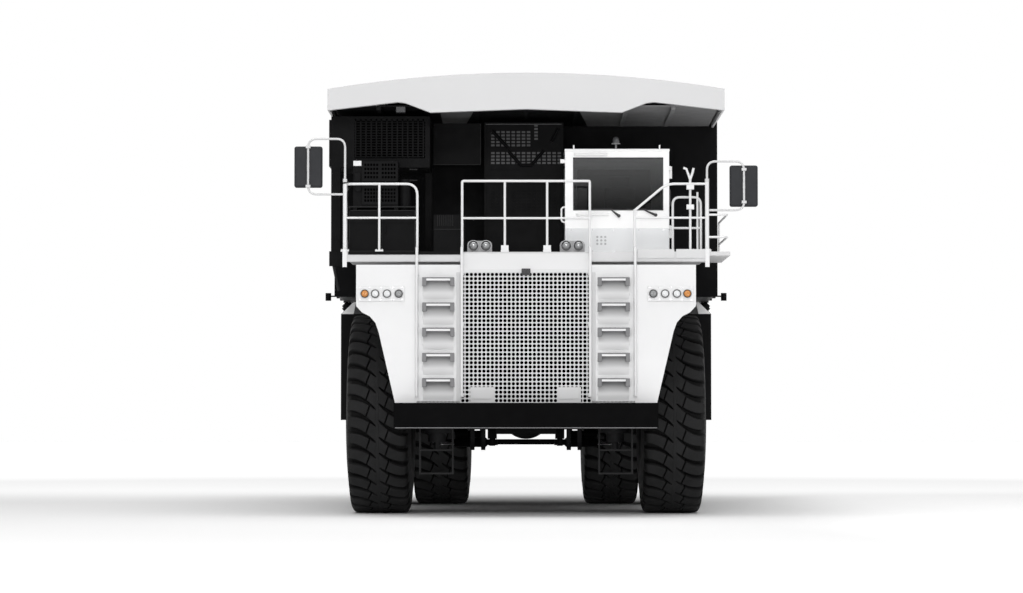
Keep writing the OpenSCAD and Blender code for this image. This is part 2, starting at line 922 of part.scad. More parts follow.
module cab_seat() {
    color(dark) {
        x = [seat_x - seat_w / 2, seat_x + seat_w / 2];
        y = [seat_y - seat_w / 2, seat_y + seat_w / 2];
        block(x, y, [seat_z, seat_z + seat_t]);
        block(x, [y[1] - seat_back_t, y[1]], [seat_z + seat_t, seat_z + seat_back_h]);
        block([seat_x - seat_post_w / 2, seat_x + seat_post_w / 2],
              [seat_y - seat_post_w / 2, seat_y + seat_post_w / 2], [cab_floor, seat_z]);
    }
}

module cab_console() {
    color(dark) {
        front = cab_front + cab_wall;
        back = front + console_depth;
        block(console_x, [front, back], [cab_floor, console_top]);
        tip = [seat_x, back + wheel_r, wheel_z];
        bar([seat_x, back - column_r, console_top - wheel_r], tip, column_r);
        translate(tip) rotate([wheel_tilt, 0, 0]) {
            rotate_extrude() translate([wheel_r, 0]) circle(wheel_tube_r);
            for (a = [0, 120, 240]) rotate([0, 90, a]) cylinder(h = wheel_r, r = wheel_tube_r);
        }
    }
}

module cab_fittings() {
    color(dark) {
        y = (cab_front * 3 + cab_back) / 4;
        rod_z(beacon_base_r, beacon_x, y, [cab_top, cab_top + beacon_base_h]);
        rod_z(beacon_r, beacon_x, y, [cab_top + beacon_base_h, cab_top + beacon_base_h + beacon_h]);
        for (x = roof_lug_x) block([x - roof_lug_half, x + roof_lug_half],
                                   [cab_front, cab_front + cab_wall], [cab_top, cab_top + roof_lug_h]);
        for (z = grab_z) tube([[grab_x[0], cab_front, z], [grab_x[0], cab_front - grab_out, z],
                               [grab_x[1], cab_front - grab_out, z], [grab_x[1], cab_front, z]], grab_r);
    }
}

// Deck equipment
grid_inset = 25;
grid_w = 1483;
grid_x = [grid_inset - canopy_half, grid_inset + grid_w - canopy_half];
grid_top = canopy_bottom - grid_gap;
grid_bottom = grid_top - grid_h;
grid_y = [-4800, -3700];
grid_face_margin = 70;
grid_face_side = 350;
grid_face_low = 140;
grid_face_depth = 120;
louvre_count = 12;
louvre_t = 20;
grid_leg_w = 140;
grid_leg_l = 100;
cabinet_low_in = 290;
cabinet_low_w = 990;
cabinet_low_x = [grid_x[0] + cabinet_low_in, grid_x[0] + cabinet_low_in + cabinet_low_w];
cabinet_low_y = [-5150, -4700];
cabinet_low_z = 4560;
cabinet_high_in = 350;
cabinet_high_w = 675;
cabinet_high_x = [grid_x[0] + cabinet_high_in, grid_x[0] + cabinet_high_in + cabinet_high_w];
cabinet_high_y = [-5150, -4830];
cabinet_high_z = 5290;
cabinet_small_x = [-1385, -910];
cabinet_small_y = [-4900, -4400];
cabinet_small_z = 4510;
cabinet_foot_h = 60;
cabinet_foot_in = 60;
rack_x = [-640, 575];
rack_y = [-3850, -3500];
rack_top = grid_top;
rack_bar = 70;
rack_levels_share = [0.2, 0.45, 0.72, 1];
tank_bottom = 1433;
tank_shoulder = 3154;
tank_top = 3350;
tank_chamfer = 200;
pod_x = [505, 875];
pod_y = [-5190, -5070];
pod_h = 170;
pod_lens_r = 70;
pod_lens_out = 12;
ladder_x = [1080, 1565];
ladder_r = 14;
ladder_y = -5440;
ladder_bottom = 645;
ladder_rungs_z = [645, 990];

module grid_box() {
    color(black) {
        x = [grid_x[0] + grid_face_side, grid_x[1] - grid_face_margin];
        z = [grid_bottom + grid_face_low, grid_top - grid_face_margin];
        pitch = (z[1] - z[0]) / louvre_count;
        difference() {
            block(grid_x, grid_y, [grid_bottom, grid_top]);
            block(x, [grid_y[0] - over, grid_y[0] + grid_face_depth], z);
        }
        for (i = [1 : louvre_count - 1])
            block(x, [grid_y[0] + louvre_t, grid_y[0] + grid_face_depth],
                  [z[0] + i * pitch, z[0] + i * pitch + louvre_t]);
        for (y = [grid_y[0], grid_y[1] - grid_leg_l])
            block([grid_x[0], grid_x[0] + grid_leg_w], [y, y + grid_leg_l], [deck_top, grid_bottom]);
        block([grid_x[1] - grid_leg_l, grid_x[1]], [grid_y[1] - grid_leg_l, grid_y[1]],
              [deck_top, grid_bottom]);
    }
}

module electrical_cabinets() {
    color(black) {
        block(cabinet_low_x, cabinet_low_y, [deck_top, cabinet_low_z]);
        block(cabinet_high_x, cabinet_high_y, [cabinet_low_z + cabinet_foot_h, cabinet_high_z]);
        for (x = [cabinet_high_x[0], cabinet_high_x[1] - cabinet_foot_in])
            block([x, x + cabinet_foot_in], cabinet_high_y,
                  [cabinet_low_z, cabinet_low_z + cabinet_foot_h]);
        block(cabinet_small_x, cabinet_small_y, [deck_top, cabinet_small_z]);
    }
}

module cooling_rack() {
    color(black) {
        h = rack_top - deck_top;
        front = [rack_y[0], rack_y[0] + rack_bar];
        block(rack_x, [rack_y[1] - plate_t, rack_y[1]], [deck_top, rack_top]);
        for (x = [rack_x[0], rack_x[1] - rack_bar])
            block([x, x + rack_bar], [rack_y[0], rack_y[1]], [deck_top, rack_top]);
        for (s = rack_levels_share)
            block(rack_x, front, [deck_top + h * s - rack_bar, deck_top + h * s]);
        for (i = [0 : len(rack_levels_share) - 2])
            rack_brace(deck_top + h * rack_levels_share[i],
                       deck_top + h * rack_levels_share[i + 1] - rack_bar);
    }
}

// Crossed braces between two levels of the rack
module rack_brace(z0, z1) {
    y = rack_y[0] + rack_bar / 2;
    bar([rack_x[0] + rack_bar, y, z0], [rack_x[1] - rack_bar, y, z1], tube_r);
    bar([rack_x[0] + rack_bar, y, z1], [rack_x[1] - rack_bar, y, z0], tube_r);
}

module side_tanks() {
    color(black) both() front_plate([
        [tank_in, tank_bottom], [tank_out, tank_bottom], [tank_out, tank_shoulder],
        [tank_out - tank_chamfer, tank_top], [tank_in, tank_top]
    ], [tank_front, tank_front + tank_l]);
}

module deck_lamps() {
    color(pale_grey) both() {
        block(pod_x, pod_y, [deck_top, deck_top + pod_h]);
        w = pod_x[1] - pod_x[0];
        for (x = [pod_x[0] + w / 4, pod_x[1] - w / 4])
            rod_y(pod_lens_r, x, [pod_y[0] - pod_lens_out, pod_y[0]], deck_top + pod_h / 2);
    }
}

module boarding_ladders() {
    color(black) both() {
        for (x = ladder_x) rod_z(ladder_r, x, ladder_y, [ladder_bottom - ladder_r, bumper_bottom]);
        for (z = ladder_rungs_z) rod_x(ladder_r, ladder_x, ladder_y, z);
    }
}

// Wheels
spindle_gap = 6;
spindle_end = front_track_half + hub_out - hub_cap - spindle_gap;
bead_half = rim_half - flange_t - bead_gap;
// Half widths of the tyre outside the bead, as shares of its full half width
wall_w_shares = [0.90, 1, 0.965, 0.915];
// Radii of those points, as shares of the height from rim to tread
wall_r_shares = [0.13, 0.40, 0.70, 0.90];

function wall_points(t, sign) = [
    for (i = [0 : len(wall_w_shares) - 1])
        [rim_r + (tyre_r - rim_r) * wall_r_shares[i] - (i == 0 ? 0 : t / 2),
         sign * (tyre_w / 2 * wall_w_shares[i] - t)]
];

function reverse(list) = [for (i = [len(list) - 1 : -1 : 0]) list[i]];

function tyre_skin(t, crown) = concat(
    [[rim_r + bead_seat, bead_half - t], [rim_r + flange_h + bead_gap, bead_half - t]],
    wall_points(t, 1),
    [[crown, tread_w / 2 - t], [crown, -tread_w / 2 + t]],
    reverse(wall_points(t, -1)),
    [[rim_r + flange_h + bead_gap, -bead_half + t], [rim_r + bead_seat, -bead_half + t]]);

// Turns of a lug's foot, tip, middle, tip and foot, as shares of the pitch
lug_turn_shares = [0.1, 0.17, 0.5, 0.83, 0.9];
lug_pitch = 360 / lug_count;
lug_gap = 14;
lug_sink = 12;

// A row of tread lugs on a ring sunk in the tyre, from a place across the tyre and a turn
module lug_row(x, y, turn) {
    foot = tyre_r - lug_h - lug_sink;
    radii = [foot, tyre_r, tyre_r, tyre_r, foot];
    outline = [
        for (i = [0 : lug_count - 1]) for (k = [0 : len(radii) - 1])
            let (a = turn + (i + lug_turn_shares[k] - 1 / 2) * lug_pitch)
                [radii[k] * sin(a), -radii[k] * cos(a)]
    ];
    translate([x, y, axle_z]) rotate([90, 0, 90]) linear_extrude((tread_w - lug_gap) / 2) difference() {
        polygon(outline);
        circle(foot - lug_sink);
    }
}

// A ring about the wheel's axle, from a profile of radius and width
module wheel_ring(profile, x, y) {
    translate([x, y, axle_z]) rotate([0, 90, 0]) rotate_extrude() polygon(profile);
}

module tyre(x, y) {
    crown = tyre_r - lug_h;
    inside = tyre_skin(tyre_wall, crown - tyre_wall);
    color(dark) {
        wheel_ring(concat(tyre_skin(0, crown), reverse(inside)), x, y);
        lug_row(x + lug_gap / 2, y, 0);
        lug_row(x - tread_w / 2, y, lug_pitch / 2);
    }
}

function rim_profile() = [
    [rim_r - rim_t, -rim_half], [rim_r + flange_h, -rim_half],
    [rim_r + flange_h, -rim_half + flange_t], [rim_r, -rim_half + flange_t],
    [rim_r, rim_half - flange_t], [rim_r + flange_h, rim_half - flange_t],
    [rim_r + flange_h, rim_half], [rim_r - rim_t, rim_half]
];

// Rim and its web, from the wheel centre
module rim(x, y, web_x, hub) {
    wheel_ring(rim_profile(), x, y);
    wheel_ring([[hub - over, web_x], [rim_r - rim_t / 2, web_x],
                [rim_r - rim_t / 2, web_x + web_t], [hub - over, web_x + web_t]], x, y);
}

module front_rim() {
    x = front_track_half;
    color(steel) difference() {
        union() {
            rim(x, front_axle_y, 0, hub_r);
            rod_x(hub_r, [x - hub_in, x + hub_out], front_axle_y, axle_z);
        }
        rod_x(spindle_r + pin_fit, [x - hub_in - over, x + hub_out - hub_cap], front_axle_y, axle_z);
    }
}

module rear_rims() {
    color(steel) difference() {
        union() {
            rim(rear_inner_x, rear_axle_y, web_t, rear_hub_r);
            rim(rear_outer_x, rear_axle_y, 0, rear_hub_r);
            rod_x(rear_hub_r, [rear_hub_start, rear_hub_end], rear_axle_y, axle_z);
        }
        rod_x(rear_spindle_r + pin_fit, [rear_hub_start - over, rear_spindle_end + spindle_gap],
              rear_axle_y, axle_z);
    }
}

module rear_tyres() {
    tyre(rear_inner_x, rear_axle_y);
    tyre(rear_outer_x, rear_axle_y);
}

// Steering
knuckle_foot_r = 140;
knuckle_foot_h = 60;
knuckle_tail_r = 55;
knuckle_tail_z = 980;
cylinder_dx = kingpin_x - cylinder_frame_x;
cylinder_dy = front_axle_y + cylinder_arm - cylinder_frame_y;
cylinder_l = norm([cylinder_dx, cylinder_dy]);
cylinder_turn = atan2(cylinder_dy, cylinder_dx);
steer_neck_r = 40;
steer_barrel_start = 150;

module knuckle() {
    arm_z = [knuckle_z0 - arm_t, knuckle_z0];
    color(dark) {
        rod_z(knuckle_r, kingpin_x, front_axle_y, [knuckle_z0, knuckle_z1]);
        rod_z(strut_rod_r, kingpin_x, front_axle_y, [knuckle_z1, knuckle_rod_top]);
        rod_x(spindle_r, [kingpin_x, spindle_end], front_axle_y, axle_z);
        block([kingpin_x - arm_half, kingpin_x + arm_half],
              [front_axle_y, front_axle_y + tie_arm + arm_half], arm_z);
        rod_z(steer_pin_r, kingpin_x, front_axle_y + tie_arm,
              [steer_z - steer_eye_half - steer_eye_gap, arm_z[0]]);
        rod_z(knuckle_foot_r, kingpin_x, front_axle_y, [arm_z[0] - knuckle_foot_h, knuckle_z0]);
        rod_z(knuckle_tail_r, kingpin_x, front_axle_y, [knuckle_tail_z, arm_z[0]]);
    }
}

module tie_rod() {
    y = front_axle_y + tie_arm;
    eye = [steer_z - steer_eye_half, steer_z + steer_eye_half];
    color(dark) difference() {
        union() {
            rod_x(tie_rod_r, [-kingpin_x, kingpin_x], y, steer_z);
            for (s = [-1, 1]) rod_z(steer_eye_r, s * kingpin_x, y, eye);
        }
        for (s = [-1, 1]) rod_z(steer_pin_r + pin_fit, s * kingpin_x, y, [eye[0] - over, eye[1] + over]);
    }
}

module on_cylinder() {
    translate([cylinder_frame_x, cylinder_frame_y, steer_z]) rotate([0, 0, cylinder_turn]) children();
}

module steer_barrel() {
    eye = [-steer_eye_half, steer_eye_half];
    color(dark) on_cylinder() difference() {
        union() {
            rod_z(steer_eye_r, 0, 0, eye);
            rod_x(steer_neck_r, [0, steer_barrel_start], 0, 0);
            rod_x(steer_barrel_r, [steer_barrel_start, steer_barrel_end], 0, 0);
        }
        rod_z(steer_pin_r + pin_fit, 0, 0, [eye[0] - over, eye[1] + over]);
        rod_x(steer_rod_r + slide_fit, [steer_bore_start, steer_barrel_end + over], 0, 0);
    }
}

module steer_rod() {
    color(steel) on_cylinder() {
        rod_x(steer_rod_r, [steer_rod_start, cylinder_l], 0, 0);
        rod_z(steer_eye_r, cylinder_l, 0, [-steer_eye_half, steer_eye_half]);
    }
}

// Hoists
hoist_dy = hoist_eye_y - hoist_y;
hoist_dz = hoist_eye_z - hoist_z;
hoist_l = norm([hoist_dy, hoist_dz]);
hoist_lean = atan2(-hoist_dy, hoist_dz);
hoist_barrel_start = 100;
hoist_neck_r = 34;
hoist_neck_l = 220;

module on_hoist() {
    translate([hoist_x, hoist_y, hoist_z]) rotate([hoist_lean, 0, 0]) children();
}

module hoist_barrel() {
    color(black) on_hoist() difference() {
        union() {
            rod_x(hoist_eye_r, [-hoist_eye_half, hoist_eye_half], 0, 0);
            rod_z(hoist_r, 0, 0, [hoist_barrel_start, hoist_barrel_end]);
        }
        rod_x(hoist_pin_r + pin_fit, [-hoist_r, hoist_r], 0, 0);
        rod_z(hoist_stage_r + slide_fit, 0, 0, [hoist_bore_start, hoist_barrel_end + over]);
    }
}

module hoist_stage() {
    color(steel) on_hoist() difference() {
        rod_z(hoist_stage_r, 0, 0, [hoist_stage_start, hoist_stage_end]);
        rod_z(hoist_rod_r + slide_fit, 0, 0,
              [hoist_stage_start + hoist_stage_floor, hoist_stage_end + over]);
    }
}

module hoist_rod() {
    color(steel) on_hoist() {
        rod_z(hoist_rod_r, 0, 0, [hoist_rod_start, hoist_l - hoist_neck_l]);
        rod_z(hoist_neck_r, 0, 0, [hoist_l - hoist_neck_l, hoist_l]);
        rod_x(hoist_rod_eye_r, [-hoist_rod_eye_half, hoist_rod_eye_half], 0, hoist_l);
    }
}

// Dump body
side_rib = 55;
floor_half = body_half - side_rib - body_t;
head_back = head_front + body_t;
kick_y = 3000;
bolster_w = 90;
bolster_front = -2400;
bolster_gap = 250;
bolster_back = hinge_y - bolster_gap;
ear_t = 110;
ear_r = 160;
ear_top_half = 400;
side_slope_l = 1200;
side_slope_y = head_back + side_slope_l;
side_rib_count = 9;
side_rib_w = 120;
side_rib_drop = 80;
canopy_t = 60;
marker_out = 98;
marker_r = 45;
marker_h = 120;
marker_bracket_h = 20;
canopy_steps = 24;
lip_t = 100;
// Depth of the lip's lower edge at the corner, notch, notch end, shoulder and middle
lip_edge_drops = [560, 438, 452, 593, 541];
// Places of those depths, as shares of the canopy's half width
lip_edge_shares = [1, 0.647, 0.607, 0.482, 0];
skirt_t = 30;
skirt_top = canopy_side_top - canopy_t / 2;
canopy_rib_w = 60;
canopy_rib_depth = 420;
canopy_rib_low = canopy_top - canopy_rib_depth;
canopy_rib_shares = [0.25, 0.5, 0.75];
canopy_r = (canopy_half * canopy_half + canopy_sag * canopy_sag) / (2 * canopy_sag);

function canopy_z(x) = canopy_top - canopy_r + sqrt(canopy_r * canopy_r - x * x);

function canopy_arc(half, drop) = [
    for (i = [0 : canopy_steps]) let (x = half * (2 * i / canopy_steps - 1)) [x, canopy_z(x) - drop]
];

module body_floor() {
    color(black) {
        side_plate([
            [head_back, floor_z], [kick_y, floor_z], [tail_y, floor_z + tail_rise],
            [tail_y, floor_z + tail_rise + body_t], [kick_y, floor_z + body_t],
            [head_back, floor_z + body_t]
        ], [-floor_half, floor_half]);
        both() {
            block([rail_in + (rail_w - bolster_w) / 2, rail_in + (rail_w + bolster_w) / 2],
                  [bolster_front, bolster_back], [rail_top + run_gap, floor_z]);
            hinge_ear();
            gap = hoist_rod_eye_half + hoist_ear_gap + hoist_ear_t / 2;
            for (s = [-1, 1]) hoist_ear(hoist_x + s * gap);
        }
    }
}

module hinge_ear() {
    x = [rail_out + run_gap, rail_out + run_gap + ear_t];
    difference() {
        union() {
            side_plate([
                [hinge_y - ear_top_half, floor_z], [hinge_y - ear_r, hinge_z],
                [hinge_y + ear_r, hinge_z], [hinge_y + ear_top_half / 2, floor_z]
            ], x);
            rod_x(ear_r, x, hinge_y, hinge_z);
        }
        rod_x(hinge_r + pin_fit, [x[0] - over, x[1] + over], hinge_y, hinge_z);
    }
}

module hoist_ear(x) {
    span = [x - hoist_ear_t / 2, x + hoist_ear_t / 2];
    rod_x(hoist_ear_r, span, hoist_eye_y, hoist_eye_z);
    block(span, [hoist_eye_y - hoist_ear_r, hoist_eye_y + hoist_ear_r], [hoist_eye_z, floor_z]);
}

function side_top(y) = y < side_slope_y
    ? side_front_z + (canopy_bottom - side_front_z) * (side_slope_y - y) / (side_slope_y - head_back)
    : side_front_z + (side_back_z - side_front_z) * (y - side_slope_y) / (tail_y - side_slope_y);

function side_foot(y) = y < kick_y ? floor_z : floor_z + tail_rise * (y - kick_y) / (tail_y - kick_y);

module body_sides() {
    pitch = (tail_y - head_back) / side_rib_count;
    color(black) both() {
        side_plate([
            [head_back, floor_z], [kick_y, floor_z], [tail_y, floor_z + tail_rise],
            [tail_y, side_top(tail_y)], [side_slope_y, side_front_z], [head_back, side_top(head_back)]
        ], [floor_half, floor_half + body_t]);
        for (i = [0 : side_rib_count - 1]) {
            y = head_back + (i + 1 / 2) * pitch;
            block([floor_half + body_t, body_half], [y, y + side_rib_w],
                  [side_foot(y + side_rib_w), side_top(y + side_rib_w) - side_rib_drop]);
        }
    }
}

// Front wall of the body, with a marker lamp pod on a bracket at each lower corner
module body_headboard() {
    color(black) {
        front_plate(concat(
            [[body_half, canopy_side_top], [body_half, floor_z], [-body_half, floor_z],
             [-body_half, canopy_side_top]], canopy_arc(canopy_half, 0)), [head_front, head_back]);
        both() {
            x = body_half + marker_out;
            block([body_half - marker_r, x], [head_front, head_back], [floor_z, floor_z + marker_bracket_h]);
            rod_z(marker_r, x, (head_front + head_back) / 2,
                  [floor_z - marker_h / 2, floor_z + marker_h / 2]);
        }
    }
}

module body_canopy() {
    lip_back = lip_front + lip_t;
    n = len(lip_edge_shares);
    color(white) {
        front_plate(concat(canopy_arc(canopy_half, 0),
            [for (i = [0 : n - 1]) [canopy_half * lip_edge_shares[i], canopy_top - lip_edge_drops[i]]],
            [for (i = [n - 2 : -1 : 0]) [-canopy_half * lip_edge_shares[i], canopy_top - lip_edge_drops[i]]]),
            [lip_front, lip_back]);
        front_plate(concat(canopy_arc(canopy_half, 0), reverse(canopy_arc(canopy_half, canopy_t))),
                    [lip_back, head_front]);
        both() {
            block([canopy_half - skirt_t, canopy_half], [lip_back, head_front], [canopy_bottom, skirt_top]);
            for (s = canopy_rib_shares) {
                x = canopy_half * s;
                block([x, x + canopy_rib_w], [lip_back, head_front],
                      [canopy_rib_low, canopy_z(x + canopy_rib_w) - canopy_t / 2]);
            }
        }
    }
}

frame();
bumper();
front_struts();
rear_axle();
power_block();
hood();
grille();
fender_panels();
step_panels();
decks();
guard_rails();
mirror_arms();
mirror_heads();
cab_shell();
cab_glass();
cab_seat();
cab_console();
cab_fittings();
grid_box();
electrical_cabinets();
cooling_rack();
side_tanks();
head_lamps();
amber_lamps();
deck_lamps();
boarding_ladders();
knuckle();  // knuckle_left
mirror([1, 0, 0]) knuckle();  // knuckle_right
front_rim();  // front_rim_left
tyre(front_track_half, front_axle_y);  // front_tyre_left
mirror([1, 0, 0]) front_rim();  // front_rim_right
mirror([1, 0, 0]) tyre(front_track_half, front_axle_y);  // front_tyre_right
rear_rims();  // rear_rims_left
rear_tyres();  // rear_tyres_left
mirror([1, 0, 0]) rear_rims();  // rear_rims_right
mirror([1, 0, 0]) rear_tyres();  // rear_tyres_right
tie_rod();
steer_barrel();  // steer_barrel_left
steer_rod();  // steer_rod_left
mirror([1, 0, 0]) steer_barrel();  // steer_barrel_right
mirror([1, 0, 0]) steer_rod();  // steer_rod_right
hoist_barrel();  // hoist_barrel_left
hoist_stage();  // hoist_stage_left
hoist_rod();  // hoist_rod_left
mirror([1, 0, 0]) hoist_barrel();  // hoist_barrel_right
mirror([1, 0, 0]) hoist_stage();  // hoist_stage_right
mirror([1, 0, 0]) hoist_rod();  // hoist_rod_right
cab_door();
door_glass();
body_floor();
body_sides();
body_headboard();
body_canopy();
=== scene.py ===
"""Looks of a mining dump truck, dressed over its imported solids, in metres."""
import json
import math

import bmesh
import bpy
from mathutils import Matrix, Vector


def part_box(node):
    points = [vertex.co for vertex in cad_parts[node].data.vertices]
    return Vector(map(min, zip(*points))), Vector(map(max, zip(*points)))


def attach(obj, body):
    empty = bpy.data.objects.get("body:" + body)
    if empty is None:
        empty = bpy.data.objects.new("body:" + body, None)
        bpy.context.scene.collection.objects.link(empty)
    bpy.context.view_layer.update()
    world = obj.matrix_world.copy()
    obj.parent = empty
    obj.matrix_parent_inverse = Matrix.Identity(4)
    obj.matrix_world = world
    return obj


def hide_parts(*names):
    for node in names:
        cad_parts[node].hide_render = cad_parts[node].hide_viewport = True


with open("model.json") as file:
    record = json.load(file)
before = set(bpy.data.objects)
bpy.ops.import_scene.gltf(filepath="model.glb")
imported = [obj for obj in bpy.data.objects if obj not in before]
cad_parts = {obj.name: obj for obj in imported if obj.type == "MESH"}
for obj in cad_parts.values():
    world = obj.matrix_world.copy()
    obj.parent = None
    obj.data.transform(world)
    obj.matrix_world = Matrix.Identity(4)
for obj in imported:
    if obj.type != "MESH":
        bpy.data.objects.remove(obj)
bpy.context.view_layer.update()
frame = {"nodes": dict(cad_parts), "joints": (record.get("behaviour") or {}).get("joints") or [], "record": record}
nodes = frame["nodes"]
joints = {j["name"]: j for j in frame["joints"]}

# The photograph's frame in pixels, and its camera in metres
PHOTO_W = 1023
HORIZON_PX = 420
CENTRE_X_PX = 526
MIDDLE_X_PX = 511.5
MIDDLE_Y_PX = 296.5
FOCAL_PX = 3027
SENSOR_MM = 36
CAMERA_AHEAD = 47
CAMERA_Z = 1.433

# Places read from the solids
FRONT_AXLE = Vector(joints["front_wheel_left_spin"]["pos_m"])
REAR_AXLE = Vector(joints["rear_wheels_left_spin"]["pos_m"])
AXLE_Z = FRONT_AXLE.z
TYRE_R = AXLE_Z

# Steps in the front panels
STEP_PITCH = 0.372
STEP_TOPS = [2.045 + STEP_PITCH * i for i in range(5)]
STEP_X = 1.294
STEP_W = 0.474
STEP_FRONT = -5.62
STEP_END_W = 0.062
STEP_END_H = 0.125
STEP_LIP = 0.045
STEP_PLATE = 0.02
COVE_DROP = 0.192
COVE_LIP = 0.045
COVE_STEPS = 10
TREAD_TEETH = 24
PLATE_TEETH = 32
PANEL_Y = -5.45

FORWARD = (0, -1, 0)
UPWARD = (0, 0, 1)
SIDES = (-1, 1)


# Shapes

BEND_STEPS = 6


def piece(name, bm, material, body="chassis", smooth=None, bevel=0):
    """A finished piece from a bmesh, with soft edges where bevel is given."""
    bmesh.ops.recalc_face_normals(bm, faces=bm.faces)
    mesh = bpy.data.meshes.new(name)
    bm.to_mesh(mesh)
    bm.free()
    mesh.materials.append(material)
    obj = bpy.data.objects.new(name, mesh)
    bpy.context.scene.collection.objects.link(obj)
    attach(obj, body)
    if bevel:
        edge = obj.modifiers.new("soft_edges", "BEVEL")
        edge.width = bevel
        edge.segments = 2
        edge.limit_method = "ANGLE"
        edge.angle_limit = math.radians(40)
    if smooth is not None:
        for polygon in mesh.polygons:
            polygon.use_smooth = True
        mesh.set_sharp_from_angle(angle=math.radians(smooth))
    return obj


def new_meshes(count):
    return [bmesh.new() for _ in range(count)]


def add_box(bm, low, high):
    low, high = Vector(low), Vector(high)
    size = high - low
    place = Matrix.Translation((low + high) / 2) @ Matrix.Diagonal((*size, 1))
    bmesh.ops.create_cube(bm, size=1, matrix=place)


def add_boxes(bm, *corners):
    for low, high in corners:
        add_box(bm, low, high)


def aim(a, b):
    """A frame at the middle of a to b, with its Z along them."""
    a, b = Vector(a), Vector(b)
    turn = (b - a).to_track_quat("Z", "Y").to_matrix().to_4x4()
    return Matrix.Translation((a + b) / 2) @ turn


def add_rod(bm, a, b, radius, top=None, sides=20):
    bmesh.ops.create_cone(bm, cap_ends=True, segments=sides, radius1=radius,
                          radius2=radius if top is None else top,
                          depth=(Vector(b) - Vector(a)).length, matrix=aim(a, b))


def add_tube(bm, points, radius, sides=12):
    """A round tube through points, mitred at its corners and closed at its ends."""
    points = [Vector(p) for p in points]
    rings = []
    for i, p in enumerate(points):
        before = (p - points[i - 1]).normalized() if i else None
        after = (points[i + 1] - p).normalized() if i + 1 < len(points) else None
        along = ((before or after) + (after or before)).normalized()
        side = along.cross(Vector((0, 0, 1)))
        if side.length < 0.1:
            side = along.cross(Vector((0, 1, 0)))
        side.normalize()
        up = side.cross(along)
        ring = []
        for k in range(sides):
            turn = 2 * math.pi * k / sides
            offset = side * math.cos(turn) + up * math.sin(turn)
            ring.append(bm.verts.new(p + offset * radius))
        rings.append(ring)
    for lower, upper in zip(rings, rings[1:]):
        shift = min(range(sides), key=lambda s: sum(
            (lower[k].co - upper[(k + s) % sides].co).length for k in range(0, sides, 3)))
        for k in range(sides):
            bm.faces.new((lower[k], lower[(k + 1) % sides],
                          upper[(k + 1 + shift) % sides], upper[(k + shift) % sides]))
    bm.faces.new(list(reversed(rings[0])))
    bm.faces.new(rings[-1])


def rounded(points, radius):
    """A path with its inner corners rounded."""
    points = [Vector(p) for p in points]
    path = [points[0]]
    for a, b, c in zip(points, points[1:], points[2:]):
        start = b + (a - b).normalized() * radius
        end = b + (c - b).normalized() * radius
        for i in range(BEND_STEPS + 1):
            t = i / BEND_STEPS
            path.append(start * (1 - t) ** 2 + b * 2 * t * (1 - t) + end * t ** 2)
    return path + [points[-1]]


def join_loops(bm, first, second):
    """A band of faces between two loops of as many points."""
    count = len(first)
    for i in range(count):
        k = (i + 1) % count
        bm.faces.new((first[i], first[k], second[k], second[i]))


def add_prism(bm, *outlines):
    """A solid between two outlines of as many points."""
    first, second = ([bm.verts.new(point) for point in outline] for outline in outlines)
    join_loops(bm, first, second)
    bm.faces.new(first)
    bm.faces.new(list(reversed(second)))


def add_plate(bm, outline, depth, place):
    """A flat outline of (u, v) points given a depth, set in a place."""
    add_prism(bm, *([place @ Vector((u, v, w)) for u, v in outline] for w in (0, depth)))


FACING_FRONT = Matrix(((1, 0, 0, 0), (0, 0, 1, 0), (0, 1, 0, 0), (0, 0, 0, 1)))


def facing_front(x, y, z):
    """A place whose u runs along X, v up and depth back along Y."""
    return Matrix.Translation((x, y, z)) @ FACING_FRONT


def add_bolt(bm, at, normal, radius, height):
    """A six-sided bolt head with its washer, standing on a face."""
    at, normal = Vector(at), Vector(normal).normalized()
    washer = height * 0.3
    add_rod(bm, at, at + normal * washer, radius * 1.35, sides=14)
    add_rod(bm, at + normal * washer, at + normal * height, radius, top=radius * 0.92, sides=6)


# Materials

# Places where finishes, painted shade and painted reflection change
CANOPY_LIP_BACK = -5.195
CANOPY_INSIDE = 2.92
GLASS_REFLECTION_RISE = (4.6, 5.4)
# Radii over which the painted shade in the tyre grooves fades out, towards the lug crowns and towards the sidewall
CROWN_RADII = (1.465, 1.515)
SIDE_RADII = (1.41, 1.36)
DUST = (0.42, 0.40, 0.37, 1)


def node_maker(tree):
    """A function that adds a node to a tree, sets or links its inputs and returns its outputs."""
    def node(kind, links=None, **values):
        made = tree.nodes.new("ShaderNode" + kind)
        for key, value in values.items():
            setattr(made, key, value)
        for key, value in (links or {}).items():
            if isinstance(value, bpy.types.NodeSocket):
                tree.links.new(value, made.inputs[key])
            else:
                made.inputs[key].default_value = value
        return made.outputs

    return node


def shader(name, constants):
    """A material with constants on its shader's sockets, a maker of nodes and a linker to sockets."""
    material = bpy.data.materials.new(name)
    material.use_nodes = True
    tree = material.node_tree
    sockets = tree.nodes["Principled BSDF"].inputs
    for socket, value in constants.items():
        sockets[socket].default_value = value

    def into(socket, value):
        tree.links.new(value, sockets[socket])

    return material, node_maker(tree), into


def maths(node, operation, *values):
    return node("Math", dict(enumerate(values)), operation=operation)[0]


def span(node, value, start, end, low=0, high=1, **how):
    """A number from low to high as a value goes from start to end."""
    return node("MapRange", {"Value": value, "From Min": start, "From Max": end, "To Min": low,
                             "To Max": high}, **how)["Result"]


def level(node, factor, low, high):
    return span(node, factor, 0.3, 0.7, low, high)


def placed(node):
    """X, Y and Z of a point in the object's own coordinates."""
    return node("SeparateXYZ", {"Vector": node("TexCoord")["Object"]})


def noise(node, scale, detail=4, roughness=0.6, squeeze=(1, 1, 1)):
    stretched = node("Mapping", {"Vector": node("TexCoord")["Object"], "Scale": squeeze})[0]
    return node("TexNoise", {"Vector": stretched, "Scale": scale, "Detail": detail,
                             "Roughness": roughness})["Fac"]


